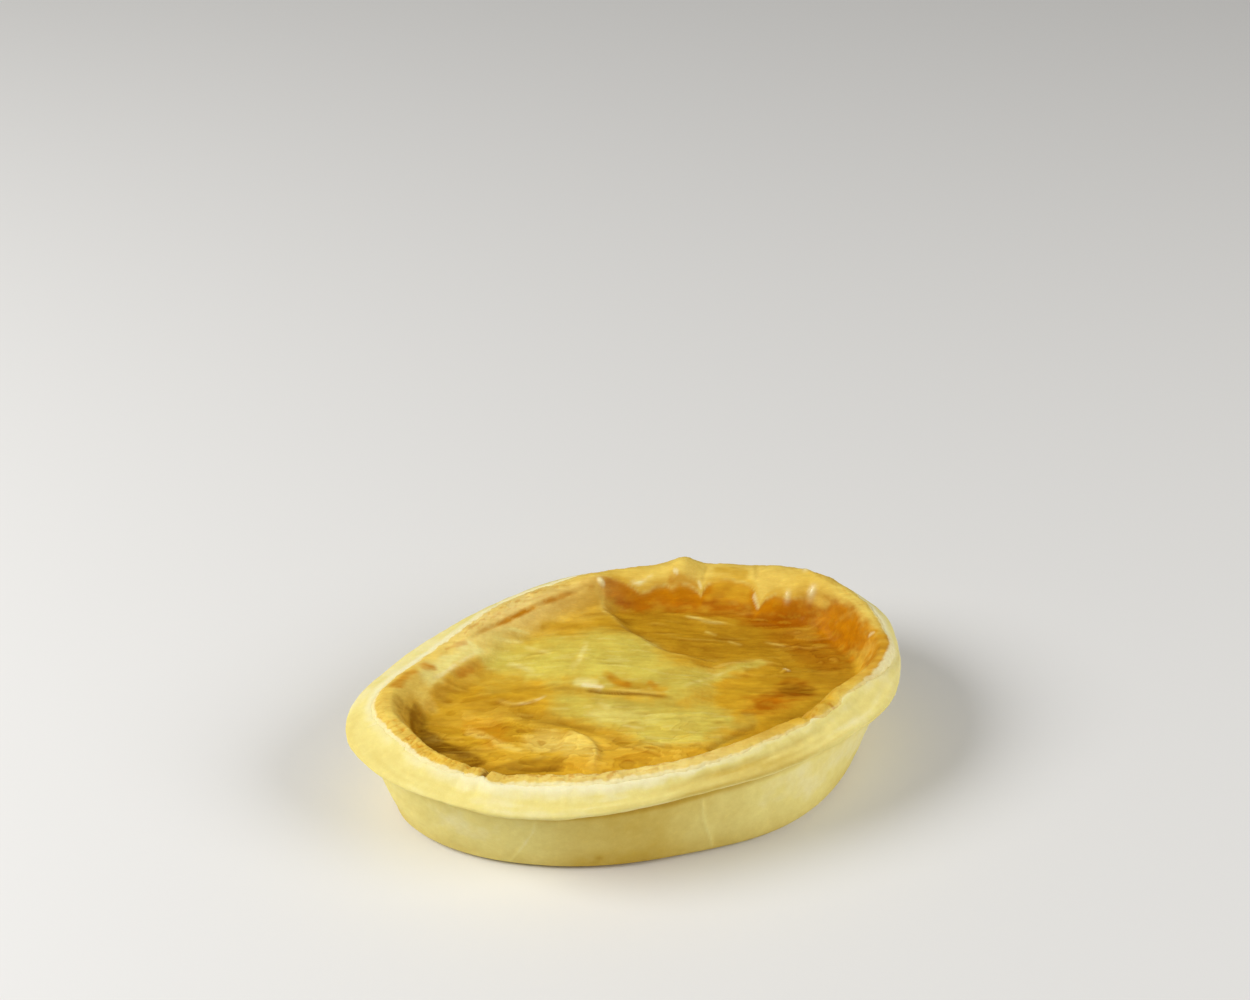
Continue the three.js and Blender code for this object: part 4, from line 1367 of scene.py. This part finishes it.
def crumb_and_shading_group():
    group = bpy.data.node_groups.new("crumb_and_shading", "ShaderNodeTree")
    for name, kind in (("Vector", "Vector"), ("Tint", "Color"), ("Scale", "Float"), ("Speck_and_shade_strength", "Float")):
        group.interface.new_socket(name, in_out="INPUT", socket_type="NodeSocket" + kind)
    group.interface.new_socket("Color", in_out="OUTPUT", socket_type="NodeSocketColor")
    group.interface.new_socket("Height", in_out="OUTPUT", socket_type="NodeSocketFloat")
    entry = add_node(group, "NodeGroupInput")
    finer = arithmetic(group, "MULTIPLY", entry.outputs["Scale"], FINER)
    coarse = add_noise(group, entry.outputs["Vector"], entry.outputs["Scale"], COARSE_DETAIL)
    fine = add_noise(group, entry.outputs["Vector"], finer, FINE_DETAIL)
    height = arithmetic(group, "ADD", coarse, arithmetic(group, "MULTIPLY", fine, FINE_HEIGHT))
    colour = entry.outputs["Tint"]
    for tone, heights in ((SPECK_AND_HOLLOW_SHADE_COLOUR, SPECK_AND_HOLLOW_SHADE_HEIGHTS), (FLECK_AND_TOP_HIGHLIGHT_COLOUR, FLECK_AND_TOP_HIGHLIGHT_HEIGHTS)):
        share = arithmetic(group, "MULTIPLY", ramp_from(group, height, *heights), entry.outputs["Speck_and_shade_strength"])
        colour = multiply_colours(group, share, colour, tone)
    exit_node = add_node(group, "NodeGroupOutput")
    plug(group, colour, exit_node.inputs["Color"])
    plug(group, height, exit_node.inputs["Height"])
    return group


crumb_and_shading = crumb_and_shading_group()
print("crumb group:", len(crumb_and_shading.nodes), "nodes")

# %% [markdown]
# Each pastry's material reads its painted tint and gloss, and sends them through the shared node group
# of grain and painted shading. The egg wash is a thin coat over the lid, strong only where a drop
# dried. Pastry lets some light in, so a little subsurface light softens its shadows. Numbers that are
# the same all over sit on the shader itself.

# %% Materials of the two pastries
def attribute(tree, name, output):
    return add_node(tree, "ShaderNodeAttribute", attribute_name=name).outputs[output]


DRY_ROUGHNESS, GLAZED_ROUGHNESS = 0.66, 0.2
BUMP_DISTANCE = 0.3 * MM
SAME_ALL_OVER = {
    "Coat Roughness": 0.18,
    "Specular IOR Level": 0.03,
    "Subsurface Weight": 0.06,
    "Subsurface Radius": (1.0, 0.6, 0.25),
    "Subsurface Scale": 1.5 * MM,
}


def pastry_material(name, stretch, crumb_scale, specks_and_shading, relief, coat):
    material = bpy.data.materials.new(name)
    material.use_nodes = True
    tree = material.node_tree
    shader = tree.nodes["Principled BSDF"]
    along = add_node(tree, "ShaderNodeMapping", vector_type="TEXTURE")
    along.inputs["Rotation"].default_value = (0, 0, ROLL_TURN)
    along.inputs["Scale"].default_value = (stretch, 1, 1)
    plug(tree, add_node(tree, "ShaderNodeTexCoord").outputs["Object"], along.inputs["Vector"])
    crumb_and_shading_node = add_node(tree, "ShaderNodeGroup", node_tree=crumb_and_shading)
    plug(tree, along.outputs["Vector"], crumb_and_shading_node.inputs["Vector"])
    plug(tree, attribute(tree, "tint", "Color"), crumb_and_shading_node.inputs["Tint"])
    plug(tree, crumb_scale, crumb_and_shading_node.inputs["Scale"])
    plug(tree, specks_and_shading, crumb_and_shading_node.inputs["Speck_and_shade_strength"])
    plug(tree, crumb_and_shading_node.outputs["Color"], shader.inputs["Base Color"])
    gloss = attribute(tree, "gloss", "Fac")
    rough = add_node(tree, "ShaderNodeMapRange")
    rough.inputs["To Min"].default_value = DRY_ROUGHNESS
    rough.inputs["To Max"].default_value = GLAZED_ROUGHNESS
    plug(tree, gloss, rough.inputs["Value"])
    plug(tree, rough.outputs["Result"], shader.inputs["Roughness"])
    plug(tree, arithmetic(tree, "MULTIPLY", gloss, coat), shader.inputs["Coat Weight"])
    for socket, value in SAME_ALL_OVER.items():
        shader.inputs[socket].default_value = value
    relief_node = add_node(tree, "ShaderNodeBump")
    relief_node.inputs["Strength"].default_value = relief
    relief_node.inputs["Distance"].default_value = BUMP_DISTANCE
    plug(tree, crumb_and_shading_node.outputs["Height"], relief_node.inputs["Height"])
    plug(tree, relief_node.outputs["Normal"], shader.inputs["Normal"])
    return material


shortcrust = pastry_material("shortcrust", stretch=1, crumb_scale=700, specks_and_shading=0.1, relief=0.1, coat=0.1)
puff = pastry_material("puff_pastry", stretch=6, crumb_scale=1100, specks_and_shading=0.22, relief=0.2, coat=0.6)
case_mesh.materials.append(shortcrust)
lid_mesh.materials.append(puff)
case_piece = finished_piece(case_mesh, "pastry_case")
lid_piece = finished_piece(lid_mesh, "pastry_lid")
print("pieces:", case_piece.name, lid_piece.name)

# %% [markdown]
# The stage is plain: a pale floor, large enough that a low camera never sees its edge close by, and
# soft studio light. A big light from the left and a little behind models the folds, a weaker one from
# the right opens the shadows, and the pale world fills the rest.

# %% Floor and light
FLOOR_HALF = 3.0
FLOOR_COLOUR, FLOOR_ROUGHNESS = (0.8, 0.79, 0.77, 1), 0.8
# Each light: its name, its place and width in metres, and its power in watts.
LIGHTS = [("key", (-0.66, 0.14, 0.56), 0.5, 6.3), ("fill", (0.55, -0.5, 0.55), 0.6, 4.2)]
WORLD_COLOUR, WORLD_STRENGTH = (1, 0.985, 0.95, 1), 0.2


def make_floor():
    sheet = bmesh.new()
    bmesh.ops.create_grid(sheet, x_segments=1, y_segments=1, size=FLOOR_HALF)
    floor = bpy.data.objects.new("floor", mesh_from(sheet, "floor"))
    bpy.context.scene.collection.objects.link(floor)
    material = bpy.data.materials.new("pale floor")
    material.use_nodes = True
    shader = material.node_tree.nodes["Principled BSDF"]
    shader.inputs["Base Color"].default_value = FLOOR_COLOUR
    shader.inputs["Roughness"].default_value = FLOOR_ROUGHNESS
    floor.data.materials.append(material)


def soft_light(name, place, size, power):
    light = bpy.data.lights.new(name, "AREA")
    light.shape = "DISK"
    light.size = size
    light.energy = power
    lamp = bpy.data.objects.new(name, light)
    lamp.location = place
    lamp.rotation_euler = (-Vector(place)).to_track_quat("-Z", "Y").to_euler()
    bpy.context.scene.collection.objects.link(lamp)


make_floor()
for light in LIGHTS:
    soft_light(*light)
world = bpy.data.worlds.new("studio")
world.use_nodes = True
background = world.node_tree.nodes["Background"]
background.inputs["Color"].default_value = WORLD_COLOUR
background.inputs["Strength"].default_value = WORLD_STRENGTH
bpy.context.scene.world = world

# %% [markdown]
# The camera stands where the real pie was seen from: it looks down at 35 degrees, with the pie's length
# turned 21 degrees to the picture, and the pie below the middle of the frame. Its place could be found
# by trying, but it also follows from the pie's place in the picture and the distance along the camera's
# axis.

# %% Camera
IMAGE_WIDTH, IMAGE_HEIGHT = 1250, 1000
FOCAL_PIXELS = 2200
PIE_PIXEL = (634, 755)
DEPTH = 0.5142
PITCH = math.radians(35.4)
PIE_TURN = math.radians(20.7)
SENSOR_WIDTH = 36

right = Vector((math.cos(PIE_TURN), -math.sin(PIE_TURN), 0))
level_forward = Vector((math.sin(PIE_TURN), math.cos(PIE_TURN), 0))
forward = level_forward * math.cos(PITCH) + Vector((0, 0, -math.sin(PITCH)))
up = right.cross(forward)
aside = (PIE_PIXEL[0] - IMAGE_WIDTH / 2) / FOCAL_PIXELS
below = (PIE_PIXEL[1] - IMAGE_HEIGHT / 2) / FOCAL_PIXELS
plan_origin = Vector((-PLAN_MIDDLE[0], -PLAN_MIDDLE[1], 0)) * MM
camera_data = bpy.data.cameras.new("camera")
camera_data.sensor_fit = "HORIZONTAL"
camera_data.sensor_width = SENSOR_WIDTH
camera_data.lens = FOCAL_PIXELS * SENSOR_WIDTH / IMAGE_WIDTH
camera = bpy.data.objects.new("camera", camera_data)
camera.location = plan_origin - DEPTH * (forward + right * aside - up * below)
camera.rotation_euler = Matrix((right, up, -forward)).transposed().to_euler()
bpy.context.scene.collection.objects.link(camera)
bpy.context.scene.camera = camera
print("camera at", [round(value, 3) for value in camera.location])
